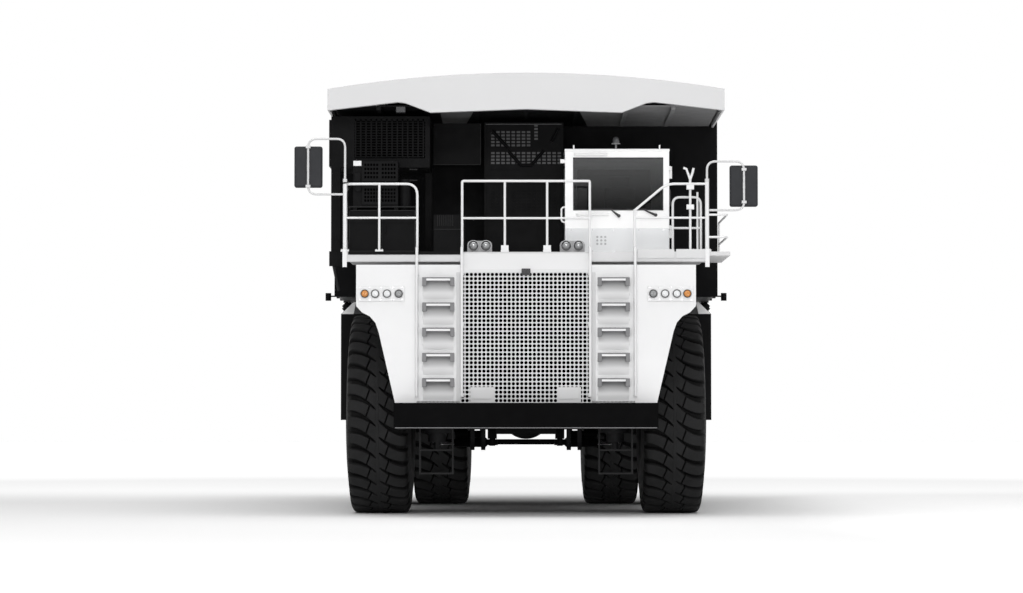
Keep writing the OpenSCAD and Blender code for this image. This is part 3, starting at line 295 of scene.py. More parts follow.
def bands(node, scale, distortion, direction):
    return node("TexWave", {"Vector": node("TexCoord")["Object"], "Scale": scale,
                            "Distortion": distortion}, bands_direction=direction)["Fac"]


def between(node, factor, low, high, start=0.35, end=0.65):
    """A colour from low to high as a factor goes from start to end."""
    colour = node("ValToRGB", {"Fac": factor})["Color"]
    for stop, place, tone in zip(colour.node.color_ramp.elements, (start, end), (low, high)):
        stop.position = place
        stop.color = (*tone, 1)
    return colour


def mixed(node, share, first, second):
    return node("MixRGB", {"Fac": share, "Color1": first, "Color2": second})[0]


def relief(node, into, height, strength, distance, edge=0):
    """A bump of the surface, over edges softened where their radius is given."""
    links = {"Height": height, "Strength": strength, "Distance": distance}
    if edge:
        links["Normal"] = node("Bevel", {"Radius": edge}, samples=4)[0]
    into("Normal", node("Bump", links)[0])


def shade(colour, share):
    return tuple(min(1, c * share) for c in colour)


def grey(value, blue):
    return value, value, blue


def paint(name, colour, rough=0.38, vary=0.05, dust=0.0, coat=0.0, shine=0.5):
    """Sprayed metal: slight tone drift, orange peel, softened edges and dust that settles on tops."""
    material, node, into = shader(name, {"Specular IOR Level": shine, "Coat Weight": coat,
                                         "Coat Roughness": 0.12})
    tone = between(node, noise(node, 0.9, 6), shade(colour, 1 - vary), shade(colour, 1 + vary))
    if dust:
        up = node("SeparateXYZ", {"Vector": node("NewGeometry")["Normal"]})["Z"]
        settled = maths(node, "MULTIPLY", span(node, up, 0.5, 1, 0, dust), noise(node, 2.5, 8))
        tone = mixed(node, settled, tone, DUST)
    into("Base Color", tone)
    into("Roughness", level(node, noise(node, 7, 5), rough - 0.05, rough + 0.08))
    relief(node, into, noise(node, 160, 2), 0.03, 0.002, edge=0.006)
    return material


def rubber(name, colour, axle_y):
    """Tyre rubber: grey bloom, a fine moulded grain, and painted shade that darkens the groove floors and lower
    lug flanks.
    """
    material, node, into = shader(name, {"Specular IOR Level": 0.16})
    bloom = between(node, noise(node, 3.5, 8, 0.7), colour, shade(colour, 1.7), 0.42, 0.75)
    place = placed(node)
    along = maths(node, "SUBTRACT", place["Y"], axle_y)
    up = maths(node, "SUBTRACT", place["Z"], AXLE_Z)
    around = node("CombineXYZ", {"X": along, "Y": up})[0]
    radius = node("VectorMath", {0: around}, operation="LENGTH")["Value"]
    # Painted shade: near black between the sidewall and the lug crowns, where the grooves are
    outside_groove_shade = maths(node, "MAXIMUM", span(node, radius, *CROWN_RADII), span(node, radius, *SIDE_RADII))
    into("Base Color", mixed(node, outside_groove_shade, (*shade(colour, 0.12), 1), bloom))
    into("Roughness", level(node, noise(node, 14, 6), 0.64, 0.84))
    relief(node, into, noise(node, 95, 5), 0.25, 0.004, edge=0.008)
    return material


def painted_step_shadow(name, colour, dark):
    """White paint with a painted shadow under each tread, dark at the tread and fading to white below it."""
    material, node, into = shader(name, {"Roughness": 0.4})
    below = maths(node, "SUBTRACT", STEP_TOPS[0] - STEP_LIP, placed(node)["Z"])
    share = maths(node, "DIVIDE", maths(node, "WRAP", below, STEP_PITCH, 0), COVE_DROP)
    into("Base Color", between(node, share, dark, colour, 0.1, 0.95))
    return material


def cast(name, colour):
    """Painted cast metal with a coarse sand texture."""
    material, node, into = shader(name, {"Specular IOR Level": 0.2})
    into("Base Color", between(node, noise(node, 2.2, 7), shade(colour, 0.85), shade(colour, 1.25)))
    into("Roughness", level(node, noise(node, 20, 5), 0.52, 0.7))
    relief(node, into, noise(node, 70, 6), 0.22, 0.004, edge=0.012)
    return material


def metal(name, colour, rough=0.18, streak=(1, 1, 30)):
    """Bare or plated metal with fine drawn streaks."""
    material, node, into = shader(name, {"Metallic": 1})
    into("Base Color", between(node, noise(node, 4, 5), shade(colour, 0.9), colour))
    into("Roughness", level(node, noise(node, 12, 4, squeeze=streak), rough - 0.06, rough + 0.08))
    return material


def cab_glazing(name, low_tint, top_tint_and_painted_reflection):
    """Cab glass that is lighter and more reflective towards the top as a painted reflection, with a faint ripple.
    """
    material, node, into = shader(name, {"Transmission Weight": 1})
    painted_reflection_rise = span(node, placed(node)["Z"], *GLASS_REFLECTION_RISE)
    # Painted reflection: colour and IOR, and so the glass's reflection, grow towards the top of the pane
    into("Base Color", between(node, painted_reflection_rise, low_tint, top_tint_and_painted_reflection, 0, 1))
    into("IOR", span(node, painted_reflection_rise, 0, 1, 1.26, 1.72))
    into("Roughness", level(node, noise(node, 4, 6), 0.02, 0.06))
    relief(node, into, noise(node, 3, 1), 0.02, 0.003)
    return material


def moulded(name, colour, rough=0.5, grain=0.12):
    """Moulded plastic with a fine leather-like grain."""
    material, node, into = shader(name, {})
    into("Base Color", between(node, noise(node, 5, 5), shade(colour, 0.9), shade(colour, 1.15)))
    into("Roughness", level(node, noise(node, 30, 4), rough - 0.07, rough + 0.07))
    relief(node, into, noise(node, 260, 3), grain, 0.001, edge=0.004)
    return material


def cloth(name, colour):
    """Woven seat fabric with a visible weave."""
    material, node, into = shader(name, {"Roughness": 0.9, "Sheen Weight": 0.3})
    weave = maths(node, "MULTIPLY", bands(node, 120, 0.4, "X"), bands(node, 120, 0.4, "Z"))
    into("Base Color", between(node, weave, shade(colour, 0.7), shade(colour, 1.4), 0.1, 0.8))
    relief(node, into, weave, 0.4, 0.002)
    return material


def lens(name, colour):
    """Moulded lamp lens with fine vertical flutes."""
    material, node, into = shader(name, {"Roughness": 0.12, "Coat Weight": 0.6})
    flutes = bands(node, 110, 0, "X")
    into("Base Color", between(node, flutes, shade(colour, 0.82), colour, 0.1, 0.9))
    relief(node, into, flutes, 0.25, 0.003)
    return material


def canopy_paint(name, outside, underside):
    """White outside and on the front lip, dark paint under the roof, its grey lighter than the body's black as
    painted light in the canopy's shade.
    """
    material, node, into = shader(name, {"Roughness": 0.42})
    place = placed(node)
    across = maths(node, "ABSOLUTE", place["X"])
    up = node("SeparateXYZ", {"Vector": node("TexCoord")["Normal"]})["Z"]
    hidden = maths(node, "GREATER_THAN", place["Y"], CANOPY_LIP_BACK)
    for value, limit in ((across, CANOPY_INSIDE), (up, 0.5)):
        hidden = maths(node, "MULTIPLY", hidden, maths(node, "LESS_THAN", value, limit))
    light = between(node, noise(node, 0.9, 6), shade(outside, 0.985), outside)
    dark = between(node, noise(node, 1.6, 6), shade(underside, 0.85), shade(underside, 1.2))
    into("Base Color", mixed(node, hidden, light, dark))
    into("Normal", node("Bevel", {"Radius": 0.008}, samples=4)[0])
    return material


WHITE = paint("white_paint", grey(0.735, 0.74), rough=0.36, vary=0.012, coat=0.1)
# The grey under the roof is dark paint lifted as painted light in the canopy's shade
CANOPY = canopy_paint("canopy_paint", grey(0.58, 0.585), grey(0.2, 0.204))
# A darker copy of the white paint for the hood, whose sloped top catches more light: painted shade
HOOD_PAINTED_DARKER = paint("hood_white_painted_darker", grey(0.66, 0.665), rough=0.4, vary=0.012)
GRILLE = paint("grille_paint", grey(0.59, 0.595), rough=0.42, vary=0.02)
DECK = paint("deck_paint", grey(0.61, 0.615), rough=0.5, vary=0.03, dust=0.2)
BODY = paint("body_black", grey(0.0042, 0.0046), rough=0.5, vary=0.15, dust=0.05, shine=0.05)
CHASSIS = paint("chassis_black", grey(0.002, 0.0022), rough=0.42, vary=0.15, dust=0.02, shine=0.025)
EQUIPMENT = paint("equipment_black", grey(0.0042, 0.0045), rough=0.5, vary=0.12, dust=0.02, shine=0.06)
# A lighter, glossier copy of the body's black for its sides and floor, so their form shows: painted light
BODY_BLACK_PAINTED_LIGHTER = paint("body_black_painted_lighter", grey(0.01, 0.0104), rough=0.42, vary=0.12, dust=0.12, shine=0.25)
LIGHT_GREY = paint("light_grey_paint", grey(0.45, 0.46), rough=0.45, vary=0.04)
RIM = paint("rim_paint", grey(0.2, 0.205), rough=0.45, vary=0.08, dust=0.1)
CAST = cast("cast_parts", grey(0.016, 0.017))
RUBBER = rubber("tyre_rubber", grey(0.0128, 0.0131), FRONT_AXLE.y)
# The rear tyres take a lighter copy of the same rubber: painted light against the shade under the body
REAR_RUBBER_PAINTED_LIGHTER = rubber("rear_tyre_rubber_painted_lighter", grey(0.03, 0.0305), REAR_AXLE.y)
CHROME = metal("chrome_rod", grey(0.75, 0.77))
STEEL = metal("zinc_steel", grey(0.55, 0.56), rough=0.35)
GLASS = cab_glazing("glass", (0.08, 0.086, 0.088), (0.34, 0.355, 0.36))
# A much lighter copy of the white paint for the cab, its roof cap and bars, and the tank tops, which sit in the
# shade of the canopy and the deck: painted light
WHITE_WITH_PAINTED_LIGHT = paint("white_with_painted_light", grey(0.96, 0.96), rough=0.34, vary=0.008, coat=0.15)
LAMP_CLEAR = lens("lamp_clear", (0.8, 0.81, 0.82))
LAMP_AMBER = lens("lamp_amber", (0.62, 0.235, 0.035))
LAMP_RED = lens("lamp_red", (0.5, 0.02, 0.015))
PLASTIC = moulded("dark_plastic", grey(0.022, 0.024))
CAB_PANEL = paint("cab_panel_grey", (0.78, 0.79, 0.8), rough=0.45, vary=0.015)
BEACON_LENS = moulded("beacon_lens", (0.12, 0.123, 0.127), rough=0.12, grain=0.01)
LAMP_RIM = moulded("lamp_rim", grey(0.012, 0.0125), rough=0.35, grain=0.05)
STEP_PAINTED_SHADOW = painted_step_shadow("step_painted_shadow_paint", grey(0.735, 0.74), grey(0.2, 0.205))
LAMP_GREY = lens("lamp_grey", (0.26, 0.265, 0.27))
LAMP_DOME = metal("lamp_dome", (0.27, 0.273, 0.277), rough=0.12, streak=(1, 1, 1))
# Near black with no shine, standing for the shade inside openings behind the grille holes, in the cabinet vents
# and between the grid bars: painted shade
PAINTED_OPENING_SHADE = paint("painted_opening_shade", grey(0.0006, 0.0006), rough=0.9, vary=0.1, shine=0.0)
# Mid grey: painted shade on the ends of the treads, a painted highlight along the bumper's lower edge, and the
# colour of the serrated tread edges
STEP_END = paint("step_end_grey", grey(0.17, 0.175), rough=0.5, vary=0.05)
POD_GREY = paint("pod_grey", grey(0.3, 0.305), rough=0.45, vary=0.05)
CABINET_FACE = paint("cabinet_face", grey(0.0062, 0.0066), rough=0.5, vary=0.1, shine=0.06)
CABINET_EDGE = paint("cabinet_edge", grey(0.016, 0.0164), rough=0.5, vary=0.1, shine=0.1)
RACK_CELL = paint("rack_cell", grey(0.06, 0.062), rough=0.6, vary=0.15)
MIRROR_SHELL = paint("mirror_shell", (0.03, 0.031, 0.034), rough=0.45, vary=0.08, shine=0.12)
LINER = paint("liner_grey", grey(0.135, 0.137), rough=0.6, vary=0.1)
SEAT = cloth("seat_fabric", grey(0.03, 0.033))
MIRROR = metal("mirror_face", (0.85, 0.86, 0.87), rough=0.06, streak=(1, 1, 1))

SLOT_MATERIALS = {
    "white_paint": WHITE, "grille_paint": GRILLE, "deck_paint": DECK, "body_black": BODY,
    "chassis_black": CHASSIS, "equipment_black": EQUIPMENT, "cast_parts": CAST,
    "tyre_rubber": RUBBER, "rim_paint": RIM, "glass": GLASS, "lamp_clear": LAMP_CLEAR,
    "lamp_amber": LAMP_AMBER, "seat_fabric": SEAT, "dark_plastic": PLASTIC, "chrome_rod": CHROME,
}


def dress_solids():
    """Each solid takes the finish of its slot in the record."""
    for part in frame["record"]["subparts"]:
        mesh = nodes[part["node"]].data
        mesh.materials.clear()
        mesh.materials.append(SLOT_MATERIALS[part["material_slot"]])
    nodes["body_canopy"].data.materials[0] = CANOPY
    # The hood takes the darker white: painted shade against the light on its sloped top
    nodes["hood"].data.materials[0] = HOOD_PAINTED_DARKER
    # The cab takes the lighter white: painted light in the canopy's shade
    for node in ("cab_shell", "cab_door"):
        nodes[node].data.materials[0] = WHITE_WITH_PAINTED_LIGHT
    # The body's sides and floor take the lighter black: painted light
    for node in ("body_sides", "body_floor"):
        nodes[node].data.materials[0] = BODY_BLACK_PAINTED_LIGHTER
    nodes["side_tanks"].data.materials[0] = CABINET_FACE
    nodes["boarding_ladders"].data.materials[0] = CABINET_EDGE


# Camera, light and floor

SKY_LIGHT = 0.84
SKY_LOW_LIGHT = 0.06
SKY_HIGH = 0.6
SKY_TURN = (-0.2, 0.5)
SKY_BEHIND = 0.25
FLOOR_HALF = 150
# Where the floor glows towards white, by distance, behind the truck and on its left: reach, light. The glow behind
# the truck and on its left is painted light on the floor near it
FADE_AWAY = ((9.5, 33), 0.5)
FADE_BEHIND = ((1.5, 12.5), 0.32)
FADE_BESIDE = ((3.2, 6), 0.2)
# Soft lights: name, place, target, size, power in watts
LIGHTS = (("key", (-9, -26, 22), (0, -3, 2.5), (16, 10), 500),
          ("fill", (14, -24, 12), (0, -3, 2.5), (12, 8), 200),
          ("front", (0, -58, 27), (0, -5, 4), (26, 10), 6500),
          ("low", (0, -58, 2.4), (0, -4, 3.4), (22, 3), 3000),
          ("overhead", (0, -5, 18), (0, -5, 0), (16, 14), 1300))


def add_camera():
    data = bpy.data.cameras.new("camera")
    data.sensor_width = SENSOR_MM
    data.lens = FOCAL_PX * SENSOR_MM / PHOTO_W
    data.clip_end = 500
    camera = bpy.data.objects.new("camera", data)
    camera.location = (0, FRONT_AXLE.y - CAMERA_AHEAD, CAMERA_Z)
    pitch = math.atan((HORIZON_PX - MIDDLE_Y_PX) / FOCAL_PX)
    yaw = math.atan((CENTRE_X_PX - MIDDLE_X_PX) / FOCAL_PX)
    camera.rotation_euler = (math.pi / 2 + pitch, 0, yaw)
    bpy.context.scene.collection.objects.link(camera)
    bpy.context.scene.camera = camera


def add_area(name, location, target, size, power):
    data = bpy.data.lights.new(name, "AREA")
    data.shape = "RECTANGLE"
    data.size, data.size_y = size
    data.energy = power
    lamp = bpy.data.objects.new(name, data)
    lamp.location = location
    lamp.rotation_euler = (Vector(target) - Vector(location)).to_track_quat("-Z", "Y").to_euler()
    bpy.context.scene.collection.objects.link(lamp)


def add_world():
    """Even studio light, and plain white where the camera, gloss or glass looks past the truck."""
    world = bpy.data.worlds.new("studio")
    bpy.context.scene.world = world
    world.use_nodes = True
    tree = world.node_tree
    node = node_maker(tree)
    path = node("LightPath")
    seen = path["Is Camera Ray"]
    for other in ("Is Glossy Ray", "Is Transmission Ray"):
        seen = maths(node, "MAXIMUM", seen, path[other])
    towards = node("SeparateXYZ", {"Vector": node("TexCoord")["Generated"]})
    sky = span(node, towards["Z"], 0, SKY_HIGH, SKY_LOW_LIGHT, SKY_LIGHT)
    behind = span(node, towards["Y"], *SKY_TURN, 1, SKY_BEHIND)
    strength = span(node, seen, 0, 1, maths(node, "MULTIPLY", sky, behind), 1)
    background = tree.nodes["Background"].inputs
    background["Color"].default_value = (1, 1, 1, 1)
    tree.links.new(strength, background["Strength"])


def add_floor():
    """A plain pale floor that glows towards white away from the truck; the glow behind it and on its left is
    painted light.
    """
    material, node, into = shader("studio_floor", {
        "Roughness": 0.9, "Specular IOR Level": 0, "Emission Color": (1, 1, 1, 1)})
    into("Base Color", between(node, noise(node, 0.05, 2), grey(0.97, 0.97), grey(0.98, 0.98)))
    away = node("VectorMath", {0: node("TexCoord")["Object"]}, operation="LENGTH")["Value"]
    place = placed(node)
    glow = 0
    for value, (reach, light) in ((away, FADE_AWAY), (place["Y"], FADE_BEHIND),
                                  (place["X"], FADE_BESIDE)):
        fade = span(node, value, *reach, 0, light, interpolation_type="SMOOTHSTEP")
        glow = maths(node, "MAXIMUM", glow, fade)
    into("Emission Strength", glow)
    mesh = bpy.data.meshes.new("floor")
    half = FLOOR_HALF
    mesh.from_pydata([(-half, -half, 0), (half, -half, 0), (half, half, 0), (-half, half, 0)], [],
                     [(0, 1, 2, 3)])
    floor = bpy.data.objects.new("floor", mesh)
    bpy.context.scene.collection.objects.link(floor)
    mesh.materials.append(material)


def light_studio():
    add_world()
    add_floor()
    for light in LIGHTS:
        add_area(*light)


# Tyres

LUGS = 38
CARCASS_STEPS = 152
# Lug crown and foot from the middle of the tread to the sidewall: distance out, radius
LUG_CROWN = [(0.0, 1.530), (0.12, 1.530), (0.23, 1.530), (0.32, 1.529), (0.385, 1.524),
             (0.412, 1.508), (0.433, 1.476), (0.449, 1.440), (0.461, 1.372)]
LUG_FOOT = [(0.0, 1.445), (0.12, 1.445), (0.23, 1.444), (0.32, 1.441), (0.385, 1.430),
            (0.412, 1.405), (0.433, 1.380), (0.449, 1.355), (0.461, 1.335)]
# Carcass from one bead to the rib in the middle of the tread: distance out, radius
CARCASS = [(0.390, 0.652), (0.392, 0.703), (0.412, 0.715), (0.432, 0.735), (0.445, 0.764),
           (0.450, 0.79), (0.458, 0.795), (0.481, 0.90), (0.488, 0.96), (0.4912, 0.985),
           (0.492, 1.01), (0.490, 1.035), (0.485, 1.10), (0.481, 1.14), (0.483, 1.15),
           (0.482, 1.17), (0.478, 1.18), (0.473, 1.235), (0.466, 1.285), (0.458, 1.330),
           (0.436, 1.374), (0.416, 1.402), (0.391, 1.436), (0.36, 1.446), (0.25, 1.452),
           (0.028, 1.452), (0.022, 1.529), (0.0, 1.530)]
TREAD_EDGE = 0.385
RIB_HALF = 0.022
LUG_FALL = 0.138
GROOVE_TIP = 0.02
GROOVE_EDGE = 0.108
SIPE = 0.14
SIPE_LEAN = 0.026
SIPE_W = 0.02


def tyre_point(centre, out, radius, turn):
    return Vector((centre.x + out, centre.y - radius * math.cos(turn),
                   centre.z + radius * math.sin(turn)))


def radius_at(profile, out):
    """Radius of a tread profile at a distance out."""
    for (a, ra), (b, rb) in zip(profile, profile[1:]):
        if out <= b:
            return ra + (rb - ra) * (out - a) / (b - a)
    return profile[-1][1]


def groove_turn(row, out):
    """How far a groove has fallen round the tyre, at a distance out along its row."""
    curve = LUG_FALL * (1 - min(out / TREAD_EDGE, 1)) ** 1.8
    return -curve if row < 0 else curve - 2 * LUG_FALL


def groove_gap(out):
    """Width of a groove, from its tip by the rib to the shoulder."""
    share = max(out - RIB_HALF, 0) / (TREAD_EDGE - RIB_HALF)
    return GROOVE_TIP + (GROOVE_EDGE - GROOVE_TIP) * share ** 0.6


def add_block(bm, centre, row, start, outs):
    """One block of the tread between two grooves, from pairs of distances out along them."""
    pitch = 2 * math.pi / LUGS
    edges = []
    for profile, taper in ((LUG_CROWN, 1.0), (LUG_FOOT, 0.6)):
        for side, from_groove in ((0, 1), (1, -1)):
            line = []
            for pair in outs:
                out = pair[side]
                turn = start + side * pitch + groove_turn(row, out)
                turn += from_groove * groove_gap(out) * taper / 2 / TYRE_R
                line.append(bm.verts.new(tyre_point(centre, row * out, radius_at(profile, out), turn)))
            edges.append(line)
    low_top, up_top, low_foot, up_foot = edges
    ring = (low_top, up_top, up_foot, low_foot)
    for k in range(4):
        a, b = ring[k], ring[(k + 1) % 4]
        for i in range(len(outs) - 1):
            bm.faces.new((a[i], a[i + 1], b[i + 1], b[i]))
    bm.faces.new([line[0] for line in ring])
    bm.faces.new([line[-1] for line in reversed(ring)])


def add_lug(bm, centre, row, index):
    """An inner and an outer block, parted by a narrow slanted cut."""
    pitch = 2 * math.pi / LUGS
    start = index * pitch + (pitch / 2 if row > 0 else 0)
    cut = (SIPE - row * SIPE_LEAN, SIPE + row * SIPE_LEAN)
    half = SIPE_W / 2
    inner = [tuple(RIB_HALF + (c - half - RIB_HALF) * t / 4 for c in cut) for t in range(5)]
    outer = [tuple(c + half + (TREAD_EDGE - c - half) * t / 5 for c in cut) for t in range(6)]
    outer += [(out, out) for out, _ in LUG_CROWN if out > TREAD_EDGE]
    add_block(bm, centre, row, start, inner)
    add_block(bm, centre, row, start, outer)


def add_carcass(bm, centre):
    mirrored = [(-out, radius) for out, radius in reversed(CARCASS[:-1])]
    outside = CARCASS + mirrored
    inside = [(out * 0.9, max(radius - 0.09, 0.655)) for out, radius in reversed(outside)]
    section = outside + inside
    rings = []
    for i in range(CARCASS_STEPS):
        turn = 2 * math.pi * i / CARCASS_STEPS
        rings.append([bm.verts.new(tyre_point(centre, out, radius, turn)) for out, radius in section])
    for i in range(CARCASS_STEPS):
        join_loops(bm, rings[i], rings[(i + 1) % CARCASS_STEPS])


def add_tyres(node, body, centres, material):
    bm = bmesh.new()
    for centre in centres:
        add_carcass(bm, centre)
        for index in range(LUGS):
            for row in (-1, 1):
                add_lug(bm, centre, row, index)
    tyre = piece(node + "_tread", bm, material, body, smooth=32, bevel=0.005)
    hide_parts(node)


def dress_tyres():
    low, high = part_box("front_tyre_left")
    half = (high.x - low.x) / 2
    low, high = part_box("rear_tyres_left")
    for side, sign in (("left", 1), ("right", -1)):
        front = Vector((sign * FRONT_AXLE.x, FRONT_AXLE.y, AXLE_Z))
        add_tyres("front_tyre_" + side, "front_wheel_" + side, [front], RUBBER)
        twins = [Vector((sign * x, REAR_AXLE.y, AXLE_Z)) for x in (low.x + half, high.x - half)]
        add_tyres("rear_tyres_" + side, "rear_wheels_" + side, twins, REAR_RUBBER_PAINTED_LIGHTER)


# Grille

HOLE_PITCH = 0.0622
HOLE_R = 0.0252
HOLE_SIDES = 12
GRILLE_T = 0.012
NEAR = 1e-5


def dress_grille():
    """A flat sheet with a round hole in each cell of a square grid, and a plain margin."""
    low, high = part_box("grille")
    columns = int((high.x - low.x) / HOLE_PITCH)
    rows = int((high.z - low.z) / HOLE_PITCH)
    left = (low.x + high.x - columns * HOLE_PITCH) / 2
    foot = (low.z + high.z - rows * HOLE_PITCH) / 2
    bm = bmesh.new()
    faces_y = (low.y, low.y + GRILLE_T)
    grids = []
    for y in faces_y:
        grids.append([[bm.verts.new((left + i * HOLE_PITCH, y, foot + k * HOLE_PITCH))
                       for k in range(rows + 1)] for i in range(columns + 1)])
    for i in range(columns):
        for k in range(rows):
            middle = Vector((left + (i + 0.5) * HOLE_PITCH, 0, foot + (k + 0.5) * HOLE_PITCH))
            circles = [add_cell(bm, grid, i, k, middle, y) for grid, y in zip(grids, faces_y)]
            join_loops(bm, *circles)
    add_margin(bm, grids, low, high, faces_y)
    sheet = piece("grille_sheet", bm, GRILLE)
    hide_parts("grille")
    # A near-black sheet behind the holes: painted shade inside the grille
    grille_shade = bmesh.new()
    add_box(grille_shade, (low.x + 0.02, low.y + 0.035, low.z + 0.02),
            (high.x - 0.02, low.y + 0.04, high.z - 0.02))
    piece("grille_shade_sheet", grille_shade, PAINTED_OPENING_SHADE)


def add_cell(bm, grid, i, k, middle, y):
    """One square of the sheet round its hole, on one face; returns the hole's edge."""
    corners = [grid[i + 1][k + 1], grid[i][k + 1], grid[i][k], grid[i + 1][k]]
    circle = []
    for s in range(HOLE_SIDES):
        turn = 2 * math.pi * (s + 0.5) / HOLE_SIDES
        circle.append(bm.verts.new((middle.x + HOLE_R * math.cos(turn), y,
                                    middle.z + HOLE_R * math.sin(turn))))
    quarter = HOLE_SIDES // 4
    for q in range(4):
        arc_points = [circle[(q * quarter + s) % HOLE_SIDES] for s in range(quarter)]
        for a, b in zip(arc_points, arc_points[1:]):
            bm.faces.new((corners[q], b, a))
        bm.faces.new((corners[q], corners[(q + 1) % 4], circle[((q + 1) * quarter) % HOLE_SIDES],
                      arc_points[-1]))
    return circle


def add_margin(bm, grids, low, high, faces_y):
    """The plain strip between the holes and the sheet's edge, with the edge closed between the two faces."""
    rims = []
    for grid, y in zip(grids, faces_y):
        edge = ([column[0] for column in grid] + grid[-1][1:] +
                [column[-1] for column in reversed(grid[:-1])] + list(reversed(grid[0][1:-1])))
        outer = [bm.verts.new((v.co.x, y, v.co.z)) for v in edge]
        first, last = grid[0][0].co, grid[-1][-1].co
        for v in outer:
            for axis in (0, 2):
                if abs(v.co[axis] - first[axis]) < NEAR:
                    v.co[axis] = low[axis]
                elif abs(v.co[axis] - last[axis]) < NEAR:
                    v.co[axis] = high[axis]
        join_loops(bm, edge, outer)
        rims.append(outer)
    join_loops(bm, *rims)


# Lamps

LAMP_SIDES = 40
LAMP_X = (2.056, 2.231)
INNER_X = 1.882
AMBER_X = 2.385
LAMP_BOLTS_X = (1.83, 1.97, 2.145, 2.31, 2.45)
# Round lamps turned about their axis: distance out of the panel, share of the lamp's radius
LAMP_FLANGE = ((0, 0), (0, 1), (0.008, 1), (0.012, 0.95), (0.012, 0))
LAMP_BEZEL = ((0.01, 0), (0.01, 0.84), (0.028, 0.84), (0.034, 0.79), (0.03, 0.69), (0.014, 0.65),
              (0.014, 0))
LAMP_LENS = ((0.015, 0), (0.015, 0.67), (0.028, 0.67), (0.036, 0.54), (0.04, 0.3), (0.041, 0))


def add_turned(bm, profile, at, axis, sides=LAMP_SIDES):
    """A body turned about an axis from (along, radius) points, closed where the radius is 0."""
    turn = Vector(axis).to_track_quat("Z", "Y").to_matrix().to_4x4()
    place = Matrix.Translation(at) @ turn
    rings = []
    for along, radius in profile:
        ring = []
        for k in range(sides if radius else 1):
            angle = 2 * math.pi * k / sides
            point = Vector((radius * math.cos(angle), radius * math.sin(angle), along))
            ring.append(bm.verts.new(place @ point))
        rings.append(ring)
    for a, b in zip(rings, rings[1:]):
        for k in range(sides):
            m = (k + 1) % sides
            if len(a) == 1:
                bm.faces.new((a[0], b[k], b[m]))
            elif len(b) == 1:
                bm.faces.new((a[k], a[m], b[0]))
            else:
                bm.faces.new((a[k], a[m], b[m], b[k]))


def lamp_parts(xs, z, face_y, radius):
    """Flanges, bezels and lenses of round lamps in a row, on both sides of the truck."""
    parts = new_meshes(3)
    for bm, profile in zip(parts, (LAMP_FLANGE, LAMP_BEZEL, LAMP_LENS)):
        sized = [(along, radius * share) for along, share in profile]
        for x in xs:
            for sign in SIDES:
                add_turned(bm, sized, (sign * x, face_y, z), FORWARD)
    return parts


def dress_lamps():
    low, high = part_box("head_lamps")
    radius = (high.z - low.z) / 2
    z = (low.z + high.z) / 2
    for name, xs, finish, slot, node in (("lamp", LAMP_X, LAMP_CLEAR, "lamp_clear", "head_lamps"),
                                         ("inner_lamp", (INNER_X,), LAMP_GREY, "lamp_clear", None),
                                         ("amber", (AMBER_X,), LAMP_AMBER, "lamp_amber", "amber_lamps")):
        flange, bezel, glass = lamp_parts(xs, z, high.y, radius)
        body = piece(name + "_flanges", flange, DECK, smooth=35)
        if node:
            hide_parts(node)
        piece(name + "_bezels", bezel, LAMP_RIM, smooth=35)
        piece(name + "_lenses", glass, finish, smooth=35)
    bolts = bmesh.new()
    for sign in SIDES:
        for x in LAMP_BOLTS_X:
            for dz in (-0.09, 0.09):
                add_bolt(bolts, (sign * x, high.y, z + dz), FORWARD, 0.010, 0.010)
    piece("lamp_plate_bolts", bolts, STEEL)


# Bent tube rails

DECK_TOP = 3.93
RAIL_Y = -5.31
CENTRE_Y = -5.225
STAIR_Y = -5.492
RAIL_R = 0.019
POST_R = 0.018
THIN_R = 0.0165
CENTRE_X = 0.95
STAIR_X = 1.615
OUTER_X = 2.69
POLE_X = 2.44
MIRROR_X = 3.24
MIRROR_JOINT = 4.9655
CENTRE_TOP = 4.99
SIDE_TOP = 4.94
MID_Z = 4.435
SIDE_BACK = -4.84
HOOP_X = 2.99
HOOP_BACK = -3.34
HOOPS_Z = (4.148, 4.48)
STAIR_BRACKETS_Z = (1.80, 2.85, 3.60)


def add_bent(bm, path, radius, bend):
    """A tube with smooth bends through a path's corners."""
    add_tube(bm, rounded(path, bend) if len(path) > 2 else path, radius, sides=14)


def add_post(bm, x, y, top, radius=POST_R):
    """A post with its foot plate and two bolts."""
    add_tube(bm, [(x, y, DECK_TOP), (x, y, top)], radius, sides=14)
    add_box(bm, (x - 0.06, y - 0.035, DECK_TOP), (x + 0.06, y + 0.035, DECK_TOP + 0.03))
    for side in (-0.045, 0.045):
        add_bolt(bm, (x + side, y, DECK_TOP + 0.03), UPWARD, 0.009, 0.012)


def add_stair_rail(bm, x, y):
    """A handrail that leaves the deck and runs down in front of the panels."""
    link = DECK_TOP + 0.06
    add_bent(bm, [(x, y, link), (x, STAIR_Y, link), (x, STAIR_Y, 1.78)], 0.021, 0.08)
    for z in STAIR_BRACKETS_Z:
        add_tube(bm, [(x, STAIR_Y, z), (x, PANEL_Y, z)], 0.016, sides=10)
        add_box(bm, (x - 0.03, PANEL_Y - 0.008, z - 0.03), (x + 0.03, PANEL_Y, z + 0.03))


def add_centre_rail(bm):
    y = CENTRE_Y
    add_bent(bm, [(-CENTRE_X, y, DECK_TOP), (-CENTRE_X, y, CENTRE_TOP), (CENTRE_X, y, CENTRE_TOP),
                  (CENTRE_X, y, DECK_TOP)], RAIL_R, 0.025)
    add_tube(bm, [(-CENTRE_X, y, MID_Z), (CENTRE_X, y, MID_Z)], THIN_R)
    for sign in SIDES:
        add_post(bm, sign * 0.315, y, CENTRE_TOP)
        add_box(bm, (sign * 0.315 - 0.056, y - 0.02, 3.9), (sign * 0.315 + 0.056, y + 0.045, 4.03))
        add_stair_rail(bm, sign * CENTRE_X, y)


